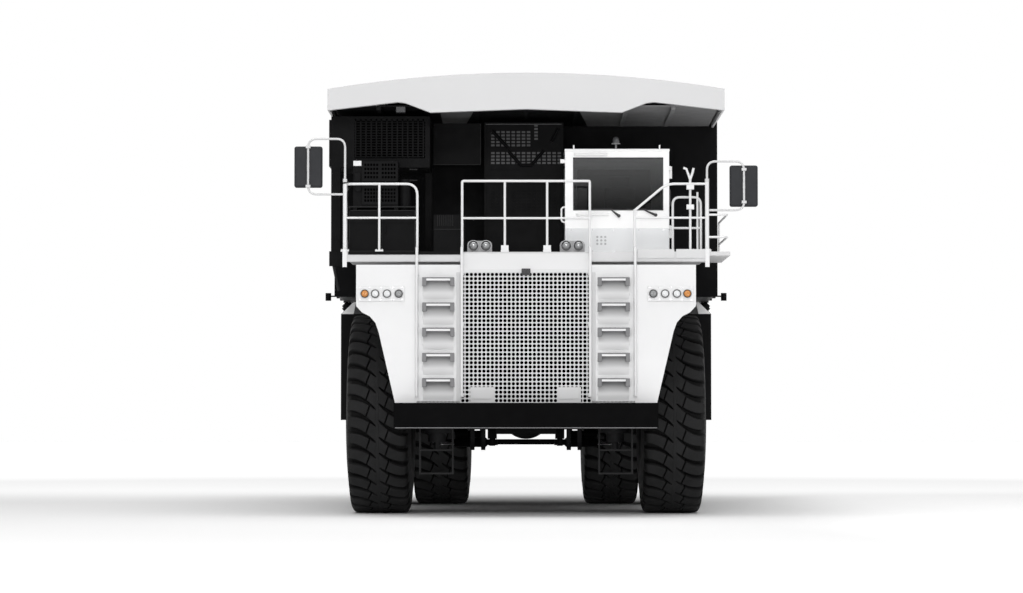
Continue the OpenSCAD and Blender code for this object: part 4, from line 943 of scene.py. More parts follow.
def add_right_rail(bm):
    y = RAIL_Y
    add_bent(bm, [(-STAIR_X, y, DECK_TOP), (-STAIR_X, y, SIDE_TOP), (-OUTER_X, y, SIDE_TOP),
                  (-OUTER_X, SIDE_BACK, SIDE_TOP), (-OUTER_X, SIDE_BACK, DECK_TOP)], RAIL_R, 0.17)
    add_bent(bm, [(-STAIR_X, y, MID_Z), (-OUTER_X, y, MID_Z), (-OUTER_X, SIDE_BACK, MID_Z)],
             THIN_R, 0.05)
    add_post(bm, -OUTER_X, y, SIDE_TOP, 0.03)
    add_post(bm, -2.18, y, SIDE_TOP)
    add_box(bm, (-OUTER_X - 0.032, -5.375, 3.70), (-OUTER_X + 0.032, -5.35, 3.97))
    add_stair_rail(bm, -STAIR_X, y)


def add_left_rail(bm):
    y = RAIL_Y
    add_tube(bm, [(STAIR_X, y, DECK_TOP), (STAIR_X, y, 4.56)], RAIL_R + 0.002, sides=14)
    add_bent(bm, [(STAIR_X, y, 4.545), (2.09, y, SIDE_TOP), (OUTER_X, y, SIDE_TOP)], RAIL_R, 0.12)
    add_tube(bm, [(STAIR_X, y, MID_Z), (OUTER_X, y, MID_Z)], THIN_R)
    add_post(bm, OUTER_X, y, SIDE_TOP + 0.03, 0.03)
    low, top = HOOPS_Z
    for z, foot in ((top, [(HOOP_X, HOOP_BACK, DECK_TOP)]), (low, [])):
        add_bent(bm, [(OUTER_X, y, z), (HOOP_X, y, z), (HOOP_X, HOOP_BACK, z)] + foot, THIN_R, 0.07)
    add_post(bm, POLE_X, y, 5.05)
    add_box(bm, (OUTER_X - 0.032, -5.375, 3.70), (OUTER_X + 0.032, -5.35, 3.97))
    add_stair_rail(bm, STAIR_X, y)
    for z in (4.594, 4.89):
        add_box(bm, (POLE_X - 0.055, y - 0.05, z - 0.035), (POLE_X + 0.055, y + 0.05, z + 0.035))
    add_tube(bm, [(POLE_X, y, 5.0), (POLE_X - 0.055, y, 5.16), (POLE_X - 0.10, y, 5.178)], 0.018)
    add_tube(bm, [(POLE_X, y, 5.0), (POLE_X + 0.04, y, 5.12), (POLE_X + 0.05, y, 5.175)], 0.018)


def dress_rails():
    bm = bmesh.new()
    add_centre_rail(bm)
    add_right_rail(bm)
    add_left_rail(bm)
    rails = piece("rails", bm, WHITE, smooth=50)
    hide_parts("guard_rails")


def dress_mirror_arms():
    y = RAIL_Y
    top_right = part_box("mirror_arms")[1].z - POST_R
    bm = bmesh.new()
    for sign, foot, top in ((-1, 4.785, top_right), (1, 4.547, 5.274)):
        inner, outer = sign * OUTER_X, sign * MIRROR_X
        add_bent(bm, [(inner, y, MIRROR_JOINT), (inner, y, top), (outer, y, top), (outer, y, foot),
                      (inner + sign * 0.03, y, foot)], THIN_R, 0.13)
        add_tube(bm, [(inner, y, MIRROR_JOINT), (inner, y, MIRROR_JOINT + 0.05)], 0.032)
        for z in (foot + 0.12, top - 0.12):
            add_box(bm, (outer - 0.035, y - 0.028, z - 0.02), (outer + 0.035, y + 0.04, z + 0.02))
    # The arms take the grey deck paint, darker than the white rails, as painted shade on the tubes
    arms = piece("mirror_tubes", bm, DECK, smooth=50)
    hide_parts("mirror_arms")


# Cab

CAB_LEFT, CAB_RIGHT = 0.59, 2.16
CAB_FRONT, CAB_BACK = -4.65, -2.95
CAB_TOP = 5.51
SCREEN_X = (0.71, 2.07)
SCREEN_Z = (4.59, 5.39)
CAB_PANEL_Z = (3.95, 4.32)
CAB_VENTS_X = (1.075, 1.135, 1.195)
CAB_VENTS_Z = (4.085, 4.137, 4.189)
CAB_BOLTS_X = (0.68, 1.0, 1.316, 1.7, 2.07)
CAB_BOLTS_Z = (3.975, 4.295)
# Wipers: x of the blade's end, x and z of the hub
WIPERS = ((1.29, 1.40, 4.505), (1.79, 1.955, 4.517))
WIPER_Z = 4.592
ROOF_FINS_X = (0.722, 2.016)
# Grab bars on the front: left, right, height
GRAB_BARS = ((0.737, 1.215, 5.437), (0.767, 1.235, 4.53))
GRAB_LEFT = 0.535
BEACON = (1.37, -4.225)
DIALS_X = (1.25, 1.38, 1.51, 1.64)
DIALS_Y = -4.295
DIALS_Z = 4.47
DOOR_HANDLE_Y = -3.72
DOOR_HANDLE_Z = (4.72, 4.98)


def add_frame(bm, xs, zs, y, width, depth):
    """A rectangular frame in the front view, inside the given edges."""
    for x in xs:
        step = width if x == xs[0] else -width
        add_box(bm, (min(x, x + step), y, zs[0]), (max(x, x + step), y + depth, zs[1]))
    for z in zs:
        step = width if z == zs[0] else -width
        add_box(bm, (xs[0], y, min(z, z + step)), (xs[1], y + depth, max(z, z + step)))


def dress_cab_front():
    """Screen gasket, wipers, the panel below the screen and its vents."""
    gasket = bmesh.new()
    add_frame(gasket, SCREEN_X, SCREEN_Z, CAB_FRONT - 0.004, 0.014, 0.03)
    for x0, x1, z1 in WIPERS:
        add_rod(gasket, (x0, CAB_FRONT - 0.02, WIPER_Z), (x1, CAB_FRONT - 0.035, z1), 0.008, top=0.02)
        add_rod(gasket, (x1, CAB_FRONT, z1), (x1, CAB_FRONT - 0.06, z1), 0.024)
        add_box(gasket, (x0 - 0.28, CAB_FRONT - 0.018, WIPER_Z + 0.006),
                (x0 + 0.02, CAB_FRONT - 0.006, WIPER_Z + 0.02))
    piece("screen_gasket_and_wipers", gasket, PLASTIC, smooth=40)
    panel = bmesh.new()
    low, high = CAB_PANEL_Z
    add_box(panel, (CAB_LEFT + 0.005, CAB_FRONT - 0.008, low), (CAB_RIGHT - 0.005, CAB_FRONT, high))
    piece("cab_lower_panel", panel, CAB_PANEL, bevel=0.004)
    dots = bmesh.new()
    for x in CAB_VENTS_X:
        for z in CAB_VENTS_Z:
            add_rod(dots, (x, CAB_FRONT - 0.010, z), (x, CAB_FRONT - 0.004, z), 0.017, sides=12)
    piece("cab_vents", dots, LIGHT_GREY)
    bolts = bmesh.new()
    for x in CAB_BOLTS_X:
        for z in CAB_BOLTS_Z:
            add_bolt(bolts, (x, CAB_FRONT - 0.008, z), FORWARD, 0.009, 0.008)
    piece("cab_bolts", bolts, STEEL)


def dress_cab_top():
    """Roof cap, lifting fins, grab bars and the beacon."""
    roof = bmesh.new()
    add_box(roof, (CAB_LEFT - 0.008, CAB_FRONT - 0.012, CAB_TOP - 0.03),
            (CAB_RIGHT + 0.008, CAB_BACK + 0.012, CAB_TOP + 0.012))
    # The roof cap and the bars below take the lighter white: painted light in the canopy's shade
    piece("cab_roof_cap", roof, WHITE_WITH_PAINTED_LIGHT, bevel=0.012)
    bars = bmesh.new()
    for x in ROOF_FINS_X:
        add_box(bars, (x - 0.011, CAB_FRONT, CAB_TOP), (x + 0.011, CAB_FRONT + 0.06, CAB_TOP + 0.068))
    for x0, x1, z in GRAB_BARS:
        y = CAB_FRONT - 0.05
        add_bent(bars, [(x0, CAB_FRONT, z), (x0, y, z), (x1, y, z), (x1, CAB_FRONT, z)], 0.016, 0.03)
    y = CAB_FRONT + 0.06
    add_bent(bars, [(CAB_LEFT, y, 4.65), (GRAB_LEFT, y, 4.63), (GRAB_LEFT, y, 4.43),
                    (CAB_LEFT, y, 4.41)], 0.014, 0.03)
    add_box(bars, (0.52, y, 5.31), (CAB_LEFT, y + 0.05, 5.37))
    fittings = piece("cab_bars", bars, WHITE_WITH_PAINTED_LIGHT, smooth=50)
    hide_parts("cab_fittings")
    x, y = BEACON
    base = bmesh.new()
    add_rod(base, (x, y, CAB_TOP), (x, y, 5.637), 0.014)
    add_turned(base, [(0, 0), (0, 0.068), (0.012, 0.068), (0.016, 0.05), (0.016, 0)],
               (x, y, 5.63), UPWARD)
    piece("beacon_base", base, LIGHT_GREY, smooth=40)
    dome = bmesh.new()
    add_turned(dome, [(0, 0), (0, 0.05), (0.05, 0.05), (0.078, 0.042), (0.096, 0.025), (0.102, 0)],
               (x, y, 5.645), UPWARD)
    piece("beacon_dome", dome, BEACON_LENS, smooth=50)


def dress_cab_inside():
    """The seat's cushions and the dials of the console."""
    seat = bmesh.new()
    low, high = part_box("cab_seat")
    middle = (low.x + high.x) / 2
    add_box(seat, (low.x, low.y, 4.42), (high.x, high.y - 0.13, 4.56))
    add_box(seat, (low.x + 0.03, high.y - 0.14, 4.54), (high.x - 0.03, high.y, 5.02))
    add_box(seat, (middle - 0.15, high.y - 0.12, 5.04), (middle + 0.15, high.y - 0.02, 5.2))
    for arm in (middle - 0.27, middle + 0.27):
        add_box(seat, (arm - 0.03, low.y + 0.1, 4.62), (arm + 0.03, high.y - 0.1, 4.68))
    add_box(seat, (middle - 0.17, low.y + 0.1, low.z), (middle + 0.17, high.y - 0.1, 4.42))
    cushions = piece("seat_cushions", seat, SEAT, bevel=0.035)
    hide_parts("cab_seat")
    dials = bmesh.new()
    for x in DIALS_X:
        add_rod(dials, (x, DIALS_Y, DIALS_Z), (x, DIALS_Y + 0.01, DIALS_Z), 0.05)
    piece("dash_dials", dials, LAMP_CLEAR)


def dress_door():
    bm = bmesh.new()
    y, (low, high), out = DOOR_HANDLE_Y, DOOR_HANDLE_Z, CAB_RIGHT + 0.055
    add_bent(bm, [(CAB_RIGHT, y, low), (out, y, low), (out, y, high), (CAB_RIGHT, y, high)], 0.013, 0.03)
    add_box(bm, (CAB_RIGHT, y - 0.06, 4.5), (CAB_RIGHT + 0.02, y + 0.02, 4.6))
    piece("door_handle", bm, PLASTIC, "cab_door", smooth=50)


# Steps and front trim

def add_cove(bm, x0, x1, top):
    """The hollow sheet under a tread, from its front edge back to the panel, which carries the painted shadow."""
    back = PANEL_Y - STEP_PLATE - 0.002
    depth = back - STEP_FRONT - COVE_LIP
    sheet = [(back, top)]
    for i in range(COVE_STEPS + 1):
        turn = math.pi / 2 * i / COVE_STEPS
        sheet.append((back - depth * (1 - math.sin(turn)), top - COVE_DROP * (1 - math.cos(turn))))
    sheet.append((PANEL_Y - 0.0005, top - COVE_DROP - 0.08))
    add_prism(bm, *([(x, y, z) for y, z in sheet] for x in (x0, x1)))


def dress_steps():
    """Sheets with a painted shadow under each tread, dark grey ends painted as the shade at each end of it, its
    serrated edge, and the plate below the panels.
    """
    ends, edges, coves = new_meshes(3)
    for sign in SIDES:
        middle = sign * STEP_X
        x0, x1 = middle - STEP_W / 2, middle + STEP_W / 2
        for z in STEP_TOPS:
            # Dark grey blocks over each end of the tread: painted shade
            for a in (x0, x1 - STEP_END_W):
                add_box(ends, (a, STEP_FRONT - 0.003, z - STEP_END_H),
                        (a + STEP_END_W, PANEL_Y, z - 0.002))
            add_box(edges, (x0, STEP_FRONT - 0.004, z - 0.014), (x1, STEP_FRONT + 0.01, z + 0.002))
            for i in range(TREAD_TEETH):
                x = x0 + 0.01 + i * (STEP_W - 0.03) / (TREAD_TEETH - 1)
                add_box(edges, (x, STEP_FRONT, z), (x + 0.010, PANEL_Y - 0.02, z + 0.006))
            add_cove(coves, x0 + 0.012, x1 - 0.012, z - STEP_LIP)
        for i in range(PLATE_TEETH):
            x = middle - 0.32 + i * 0.02
            add_box(edges, (x, PANEL_Y - 0.012, 1.688), (x + 0.011, PANEL_Y, 1.716))
    # The sheets under the treads carry the painted shadow
    piece("step_shadow_sheets", coves, STEP_PAINTED_SHADOW, smooth=40)
    piece("step_end_shades", ends, STEP_END, bevel=0.004)
    piece("step_edges", edges, STEP_END)


BLANK_PLATES_X = ((-0.797, -0.502), (0.487, 0.783))
STRIP_X = 1.003
BUMPER_EDGE_Y = (-5.706, -5.69)
BUMPER_EDGE_Z = (1.312, 1.324)


def dress_front():
    """Blank plates and side strips at the grille, the camera box, and a grey strip along the bumper's lower edge
    as a painted highlight.
    """
    low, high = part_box("grille")
    plates = bmesh.new()
    for x0, x1 in BLANK_PLATES_X:
        add_box(plates, (x0, low.y - 0.009, 1.743), (x1, low.y + 0.004, 1.89))
        add_box(plates, (x0 - 0.028, low.y - 0.002, 1.685), (x1 + 0.03, low.y + 0.003, 1.918))
    piece("grille_plates", plates, GRILLE, bevel=0.003)
    strips = bmesh.new()
    for sign in SIDES:
        x = sign * STRIP_X
        add_box(strips, (x - 0.026, PANEL_Y - 0.006, low.z), (x + 0.026, PANEL_Y, high.z))
    piece("grille_strips", strips, GRILLE, bevel=0.002)
    box = bmesh.new()
    add_box(box, (-0.066, low.y - 0.05, 3.575), (0.066, low.y + 0.02, 3.672))
    add_rod(box, (0, low.y - 0.05, 3.62), (0, low.y - 0.07, 3.62), 0.025)
    piece("front_camera", box, PLASTIC, bevel=0.008)
    # A grey strip on the black bumper's lower edge: painted highlight
    line = bmesh.new()
    bumper_low, bumper_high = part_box("bumper")
    add_box(line, (bumper_low.x + 0.02, BUMPER_EDGE_Y[0], BUMPER_EDGE_Z[0]),
            (bumper_high.x - 0.02, BUMPER_EDGE_Y[1], BUMPER_EDGE_Z[1]))
    piece("bumper_edge_highlight", line, STEP_END)


# Lamps on the deck and the mirrors

POD_X = (0.505, 0.875)
POD_Y = (-5.19, -5.07)
POD_H = 0.17
POD_BEZEL = ((0, 0), (0, 0.084), (0.016, 0.084), (0.02, 0.076), (0.01, 0.07), (0.01, 0))
POD_DOME = ((0.01, 0), (0.01, 0.074), (0.03, 0.072), (0.05, 0.062), (0.066, 0.045), (0.076, 0.024),
            (0.08, 0))


def rounded_top(w, h, radius):
    """Outline of a plate with its two upper corners rounded."""
    outline = [(0, 0), (w, 0)]
    for cx, start in ((w - radius, 0), (radius, 90)):
        for i in range(BEND_STEPS + 1):
            turn = math.radians(start + 90 * i / BEND_STEPS)
            outline.append((cx + radius * math.cos(turn), h - radius + radius * math.sin(turn)))
    return outline


def dress_deck_lamps():
    pods, bezels, domes = new_meshes(3)
    front, depth = POD_Y[0], POD_Y[1] - POD_Y[0]
    w = POD_X[1] - POD_X[0]
    for left in (POD_X[0], -POD_X[1]):
        add_plate(pods, rounded_top(w, POD_H, 0.06), depth, facing_front(left, front, DECK_TOP))
        for share in (0.25, 0.75):
            at = (left + w * share, front, DECK_TOP + POD_H / 2 + 0.01)
            add_turned(bezels, POD_BEZEL, at, FORWARD)
            add_turned(domes, POD_DOME, at, FORWARD)
    body = piece("deck_lamp_pods", pods, POD_GREY, bevel=0.008)
    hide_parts("deck_lamps")
    piece("deck_lamp_bezels", bezels, LIGHT_GREY, smooth=35)
    piece("deck_lamp_domes", domes, LAMP_DOME, smooth=50)


def side_box(node, sign):
    """Low and high corners of the part of a solid on one side of the truck."""
    matrix = nodes[node].matrix_world
    points = [matrix @ v.co for v in nodes[node].data.vertices]
    points = [p for p in points if p.x * sign > 0]
    return (Vector([min(p[i] for p in points) for i in range(3)]),
            Vector([max(p[i] for p in points) for i in range(3)]))


def dress_mirrors():
    """Mirror shells with their glass behind and brackets to the arms."""
    shells, faces, brackets = new_meshes(3)
    for sign in SIDES:
        low, high = side_box("mirror_heads", sign)
        add_box(shells, low, high)
        add_box(faces, (low.x + 0.03, high.y - 0.002, low.z + 0.03),
                (high.x - 0.03, high.y + 0.003, high.z - 0.03))
        middle = (low + high) / 2
        for share in (0.2, 0.8):
            z = low.z + (high.z - low.z) * share
            add_rod(brackets, (sign * MIRROR_X, RAIL_Y, z), (middle.x, low.y - 0.01, middle.z), 0.011,
                    sides=10)
        add_box(brackets, (middle.x - 0.03, low.y - 0.02, middle.z - 0.04),
                (middle.x + 0.03, low.y, middle.z + 0.04))
    body = piece("mirror_shells", shells, MIRROR_SHELL, bevel=0.03)
    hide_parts("mirror_heads")
    piece("mirror_glass", faces, MIRROR)
    piece("mirror_brackets", brackets, PLASTIC, smooth=50)


# Equipment on the deck

CABINET_Y = -5.15
SMALL_CABINET_Y = -4.9
VENT_DOOR_X = (-2.45, -1.91)
VENT_DOORS_Z = ((4.99, 5.29), (4.64, 4.915))
VENT_GROUPS_X = (-2.41, -2.15)
VENT_COLUMNS, VENT_ROWS = 5, 4
LOUVRES = 9
GRID_Y = -4.784
GRID_BARS = 14
GRID_ROWS = 15
# Covers round the grid box and the deck, and the light edges on them: low corner, high corner
DECK_COVERS = (((-2.963, -4.783, 5.245), (-2.9, -4.0, 5.95)),
               ((-2.955, -4.826, 3.74), (-2.722, -4.818, 3.965)),
               ((-2.64, -5.357, 3.885), (-0.97, -5.351, 3.932)),
               ((-1.42, -3.9, 5.345), (-0.69, -3.88, 5.98)))
COVER_EDGES = (((-0.702, -3.908, 5.345), (-0.69, -3.898, 5.98)),
               ((-1.42, -3.908, 5.34), (-0.69, -3.898, 5.352)))


def dress_cabinets():
    """Doors, faces with near-black blocks painted as the shade in their vent holes, and small fittings of the
    cabinets on the right deck.
    """
    faces, holes, lines, white, dark = new_meshes(5)
    y = CABINET_Y
    for z0, z1 in VENT_DOORS_Z:
        add_box(faces, (VENT_DOOR_X[0], y - 0.02, z0), (VENT_DOOR_X[1], y, z1))
        for left in VENT_GROUPS_X:
            for i in range(VENT_COLUMNS):
                for k in range(VENT_ROWS):
                    x = left + i * 0.044
                    z = z0 + 0.045 + k * (z1 - z0 - 0.09) / 3.4
                    add_box(holes, (x, y - 0.023, z), (x + 0.028, y - 0.018, z + 0.034))
    add_frame(lines, (-2.64, -1.65), (3.94, 4.56), y - 0.012, 0.014, 0.012)
    small = SMALL_CABINET_Y
    add_boxes(lines, ((-2.66, y - 0.02, 4.6), (-1.64, y + 0.3, 4.618)),
              ((-1.385, small - 0.015, 4.282), (-0.91, small, 4.296)),
              ((-2.15, y - 0.012, 3.95), (-2.142, y, 4.55)))
    for i in range(LOUVRES):
        x = -1.332 + i * 0.0285
        add_box(lines, (x, small - 0.012, 4.34), (x + 0.012, small, 4.505))
    add_box(white, (-2.574, y - 0.04, 5.22), (-2.455, y, 5.295))
    for z in (5.168, 5.005):
        add_rod(lines, (-1.741, y, z), (-1.622, y, z), 0.01, sides=10)
    add_box(faces, (-2.56, y - 0.03, 4.99), (-2.47, y, 5.11))
    add_rod(dark, (-1.815, -5.0, 4.56), (-1.815, -5.0, 5.03), 0.088)
    add_rod(dark, (-2.5, y, 4.88), (-2.5, y - 0.07, 4.88), 0.03, top=0.045)
    for x in (-2.2, -2.09):
        add_rod(dark, (x, y - 0.012, 4.2), (x, y - 0.012, 4.32), 0.01, sides=10)
    add_tube(dark, rounded([(-2.6, y - 0.02, 4.92), (-2.665, y - 0.02, 4.85), (-2.65, y - 0.02, 4.5),
                            (-2.655, y - 0.02, 4.1), (-2.62, y - 0.02, 4.0)], 0.06), 0.009, sides=8)
    piece("cabinet_faces", faces, CABINET_FACE, bevel=0.006)
    piece("cabinet_vent_shades", holes, PAINTED_OPENING_SHADE)
    piece("cabinet_lines", lines, CABINET_EDGE, bevel=0.002)
    piece("cabinet_white_fittings", white, WHITE, smooth=40)
    piece("cabinet_dark_fittings", dark, CABINET_FACE, smooth=50)


def dress_grid():
    """The field of slots in the face of the grid box, a near-black sheet behind its bars as painted shade, and the
    cover at its foot.
    """
    bars, slots, covers, edges = new_meshes(4)
    y = GRID_Y
    add_box(slots, (-2.57, y - 0.005, 5.385), (-1.54, y, 5.955))
    for i in range(GRID_BARS):
        x = -2.564 + i * 1.02 / (GRID_BARS - 1)
        add_box(bars, (x - 0.011, y - 0.016, 5.38), (x + 0.011, y - 0.002, 5.96))
    for i in range(GRID_ROWS):
        z = 5.391 + i * 0.555 / (GRID_ROWS - 1)
        add_box(bars, (-2.575, y - 0.012, z - 0.008), (-1.533, y, z + 0.008))
    add_boxes(covers, *DECK_COVERS)
    add_boxes(edges, *COVER_EDGES)
    add_rod(edges, (-2.92, -4.79, 3.89), (-2.81, -4.79, 3.37), 0.022)
    piece("grid_slot_shade", slots, PAINTED_OPENING_SHADE)
    piece("grid_bars", bars, EQUIPMENT)
    piece("deck_covers", covers, EQUIPMENT)
    piece("cover_edges", edges, CABINET_EDGE)


RACK_FACE = -3.862
CELL_PITCH = (0.0785, 0.051)
CELL = (0.055, 0.032)
# Bands of the rack's open cells and of its dark slots: left, bottom, columns, rows
CELL_BANDS = ((-0.536, 5.63, 8, 5), (0.128, 5.73, 1, 5), (-0.536, 5.358, 14, 4))
SLOT_BANDS = ((-0.53, 4.62, 2, 10), (-0.22, 4.62, 9, 10), (-0.54, 5.25, 6, 1))
# Flat braces over them: x, z of each end
RACK_BRACES = ((-0.52, 5.87, -0.27, 5.6), (-0.27, 5.56, -0.08, 5.34), (0.27, 5.56, 0.1, 5.36),
               (0.5, 5.9, 0.39, 5.7), (-0.08, 5.34, 0.1, 5.34))


def add_cells(bm, left, bottom, columns, rows):
    for i in range(columns):
        for k in range(rows):
            x = left + i * CELL_PITCH[0]
            z = bottom + k * CELL_PITCH[1]
            add_box(bm, (x, RACK_FACE - 0.004, z), (x + CELL[0], RACK_FACE, z + CELL[1]))


def dress_rack():
    """The front sheet of the rack with its bands of cells and slots, and flat braces over them."""
    sheet, cells, slots, braces = new_meshes(4)
    add_box(sheet, (-0.6, RACK_FACE, 3.94), (0.535, RACK_FACE + 0.008, 5.99))
    for bm, fields in ((cells, CELL_BANDS), (slots, SLOT_BANDS)):
        for band in fields:
            add_cells(bm, *band)
    add_box(cells, (-0.62, RACK_FACE - 0.01, 5.965), (0.55, RACK_FACE, 5.978))
    for x0, z0, x1, z1 in RACK_BRACES:
        add_rod(braces, (x0, RACK_FACE - 0.012, z0), (x1, RACK_FACE - 0.012, z1), 0.026, sides=8)
    piece("rack_sheet", sheet, EQUIPMENT)
    piece("rack_cells", cells, RACK_CELL)
    piece("rack_slots", slots, BODY)
    piece("rack_braces", braces, BODY, smooth=50)


TANK_FRONT = -1.058
TANK_SHOULDER = ((1.36, 3.154), (2.8, 3.154), (2.76, 3.346), (1.36, 3.346))
TANK_EDGE = ((2.8, 3.154), (3.0, 3.154), (2.806, 3.346), (2.76, 3.346))
GRAB_HOOP_Y = -4.9
GRAB_HOOP_X = (2.2, 2.62)
KICK_PLATES_X = ((1.65, 2.2), (2.226, 2.67))


def dress_tanks():
    """White tops on the side tanks in the lighter white, as painted light in the deck's shade, and the dark
    shoulder inside their outer edge.
    """
    tops, shoulders = new_meshes(2)
    for sign in SIDES:
        for bm, outline in ((shoulders, TANK_SHOULDER), (tops, TANK_EDGE)):
            add_plate(bm, [(sign * x, z) for x, z in outline], 0.008, facing_front(0, TANK_FRONT, 0))
        add_box(tops, (sign * 1.36, -1.05, 3.345), (sign * 2.806, 0.15, 3.353))
    piece("tank_tops", tops, WHITE_WITH_PAINTED_LIGHT, bevel=0.003)
    piece("tank_shoulders", shoulders, RACK_CELL, bevel=0.003)


def dress_grab_hoop():
    """The hoop beside the cab, and the kick plates along the deck's front."""
    bm = bmesh.new()
    y, (a, b) = GRAB_HOOP_Y, GRAB_HOOP_X
    add_bent(bm, [(a, y, DECK_TOP), (a, y, 4.77), (b, y, 4.77), (b, y, DECK_TOP)], 0.018, 0.11)
    add_tube(bm, [(a, y, 4.307), (b, y, 4.307)], 0.016)
    add_tube(bm, [(2.57, y, DECK_TOP), (2.57, y, 4.846)], 0.016)
    piece("grab_hoop", bm, WHITE, smooth=50)
    kicks = bmesh.new()
    for x0, x1 in KICK_PLATES_X:
        add_box(kicks, (x0, -5.362, 3.83), (x1, -5.352, 3.966))
    piece("kick_plates", kicks, DECK, bevel=0.004)


# Wheels and chassis

HUB_BOLTS = 16
CAP_BOLTS = 8
# Hub cover, turned: distance out, share of the hub's radius
HUB_COVER = ((0, 0), (0, 0.99), (0.014, 0.99), (0.02, 0.95), (0.02, 0.72), (0.05, 0.66), (0.055, 0.6),
             (0.055, 0.3), (0.075, 0.26), (0.075, 0))
# Lock ring, turned: distance out, radius
LOCK_RING = ((0, 0.655), (0, 0.668), (0.012, 0.676), (0.03, 0.672), (0.034, 0.66), (0.034, 0.635),
             (0, 0.63))
# Hoist axis at rest: y, z of its foot and of its head
HOIST_FOOT = (-0.15, 1.2)
HOIST_HEAD = (-0.45, 3.05)


def on_circle(centre, x, radius, index, count):
    turn = 2 * math.pi * index / count
    return Vector((x, centre.y + radius * math.cos(turn), centre.z + radius * math.sin(turn)))


def dress_wheel(node, body, centre, sign):
    """Hub cover, bolts and lock ring of a wheel, on its outer face."""
    matrix = nodes[node].matrix_world
    points = [matrix @ v.co for v in nodes[node].data.vertices]

    def reach(p):
        return math.hypot(p.y - centre.y, p.z - centre.z)

    hub = [p for p in points if reach(p) < 0.45]
    hub_x = max(p.x * sign for p in hub) * sign
    hub_r = max(reach(p) for p in hub if p.x * sign > hub_x * sign - 0.01)
    rim_x = max(p.x * sign for p in points) * sign
    out = Vector((sign, 0, 0))
    cover, studs = new_meshes(2)
    profile = [(along, hub_r * share) for along, share in HUB_COVER]
    add_turned(cover, profile, (hub_x, centre.y, centre.z), out)
    for count, along, share, radius, height in ((HUB_BOLTS, 0.02, 0.84, 0.016, 0.022),
                                                (CAP_BOLTS, 0.055, 0.46, 0.012, 0.016)):
        for i in range(count):
            at = on_circle(centre, hub_x + sign * along, hub_r * share, i, count)
            add_bolt(studs, at, out, radius, height)
    add_turned(cover, LOCK_RING, (rim_x - sign * 0.035, centre.y, centre.z), out, sides=96)
    piece(node + "_cover", cover, RIM, body, smooth=32)
    piece(node + "_studs", studs, STEEL, body)


def dress_wheels():
    for side, sign in (("left", 1), ("right", -1)):
        front = Vector((sign * FRONT_AXLE.x, FRONT_AXLE.y, AXLE_Z))
        rear = Vector((sign * REAR_AXLE.x, REAR_AXLE.y, AXLE_Z))
        dress_wheel("front_rim_" + side, "front_wheel_" + side, front, sign)
        dress_wheel("rear_rims_" + side, "rear_wheels_" + side, rear, sign)


def dress_chassis():
    """Tank straps and caps, rear lamps, and hoses under the deck."""
    straps, caps, lamps, hoses = new_meshes(4)
    low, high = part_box("side_tanks")
    for sign in SIDES:
        out = sign * high.x
        for y in (low.y + 0.2, high.y - 0.2):
            add_box(straps, (out, y - 0.035, low.z), (out + sign * 0.010, y + 0.035, 3.15))
        add_rod(caps, (sign * 2.9, -0.45, 3.25), (sign * 2.96, -0.45, 3.32), 0.09)
        add_rod(caps, (sign * 2.96, -0.45, 3.32), (sign * 2.985, -0.45, 3.345), 0.06)
        add_box(caps, (out, -0.6, 1.75), (out + sign * 0.02, -0.54, 2.7))
        for z in (1.95, 2.08):
            add_box(lamps, (sign * 0.56 - 0.09, 3.35, z), (sign * 0.56 + 0.09, 3.42, z + 0.1))
        for i in range(3):
            x = sign * (0.70 + 0.05 * i)
            path = [(x, -5.2, 1.62), (x, -4.3, 1.58), (x, -3.9, 1.9), (x, -2.4, 1.9)]
            add_tube(hoses, rounded(path, 0.12), 0.018)
    piece("tank_straps", straps, CHASSIS, bevel=0.003)
    piece("tank_caps", caps, CABINET_FACE, smooth=40)
    piece("rear_lamps", lamps, LAMP_RED, bevel=0.008)
    piece("hoses", hoses, PLASTIC, smooth=50)


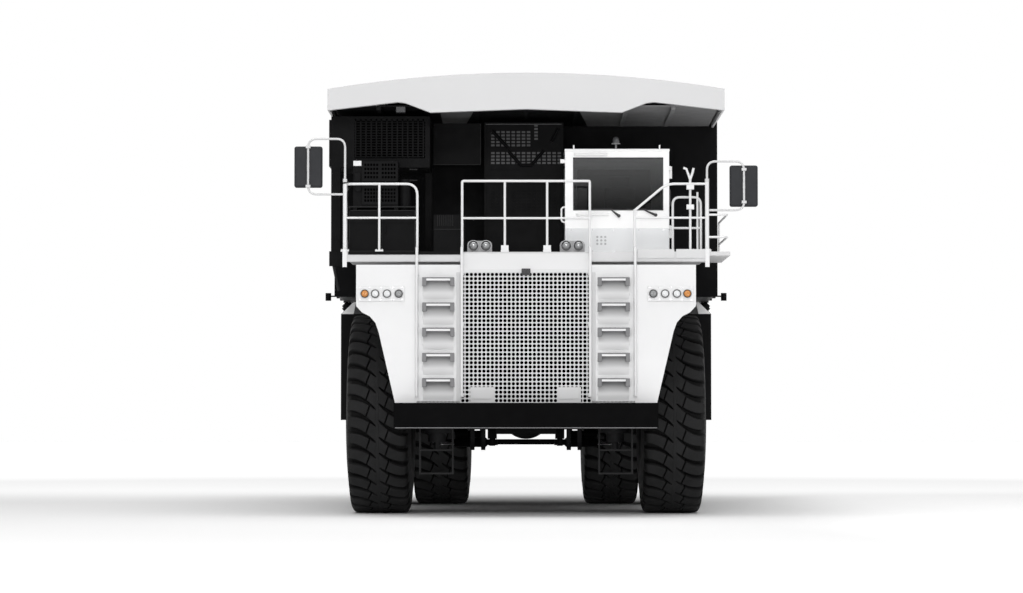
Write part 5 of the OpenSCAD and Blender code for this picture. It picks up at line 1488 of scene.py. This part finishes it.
def dress_hoists():
    """A gland ring at the top of each hoist barrel, and two pipes along it."""
    for side in ("left", "right"):
        barrel = "hoist_barrel_" + side
        low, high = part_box(barrel)
        x = (low.x + high.x) / 2
        base = Vector((x, *HOIST_FOOT))
        along = (Vector((x, *HOIST_HEAD)) - base).normalized()
        bm = bmesh.new()
        add_rod(bm, base + along * 1.49, base + along * 1.555, 0.172, sides=32)
        for dx in (0.03, -0.03):
            pipe = base + Vector((dx, 0.175, 0))
            add_tube(bm, [pipe + along * 0.25, pipe + along * 1.4], 0.016)
        piece("hoist_gland_" + side, bm, CHASSIS, barrel, smooth=40)


# Dump body

HEAD_FRONT = -2.6
LINER_T = 0.02
LINER_FRONT = (-5.19, 6.105)
LINER_BACK = (HEAD_FRONT - 0.005, 6.06)
# Edges of the liner's dark and light sheets in turn: x at the lip, x at the headboard
LINER_EDGES = ((-2.88, -2.88), (-1.3, -1.3), (-0.74, -0.96), (0.76, 0.97), (2.88, 2.88))
LINER_RIBS_X = (-2.2, -1.5, -0.75, 0, 0.75, 1.5, 2.2)


def add_liner(bm, left, right):
    """A sheet under the canopy roof, between edges given by their x at the lip and at the headboard."""
    outlines = []
    for at_front, at_back in (left, right):
        low = [Vector((at_front, *LINER_FRONT)), Vector((at_back, *LINER_BACK))]
        outlines.append(low + [point + Vector((0, 0, LINER_T)) for point in reversed(low)])
    add_prism(bm, *outlines)


def dress_canopy():
    """A ribbed liner under the canopy roof, falling a little to the headboard."""
    liner, dark = new_meshes(2)
    for i, bm in enumerate((dark, liner, dark, liner)):
        add_liner(bm, LINER_EDGES[i], LINER_EDGES[i + 1])
    front, top = LINER_FRONT
    for x in LINER_RIBS_X:
        rib = dark if x < -1.3 or abs(x) < 0.8 else liner
        add_box(rib, (x - 0.03, front, top - 0.05), (x + 0.03, LINER_BACK[0], top))
    piece("canopy_liner", liner, LINER, "dump_body")
    piece("canopy_dark_liner", dark, CABINET_FACE, "dump_body")
    box = bmesh.new()
    add_box(box, (-1.94, -5.19, 6.02), (-1.80, -5.06, 6.11))
    piece("canopy_camera", box, PLASTIC, "dump_body", bevel=0.008)


# Finish


bpy.context.scene.view_settings.view_transform = "Standard"
for dress in (add_camera, light_studio, dress_solids, dress_tyres, dress_grille, dress_lamps,
              dress_rails, dress_mirror_arms, dress_cab_front, dress_cab_top, dress_cab_inside,
              dress_door, dress_steps, dress_front, dress_deck_lamps, dress_mirrors, dress_cabinets,
              dress_grid, dress_rack, dress_tanks, dress_grab_hoop, dress_canopy, dress_wheels,
              dress_chassis, dress_hoists):
    dress()
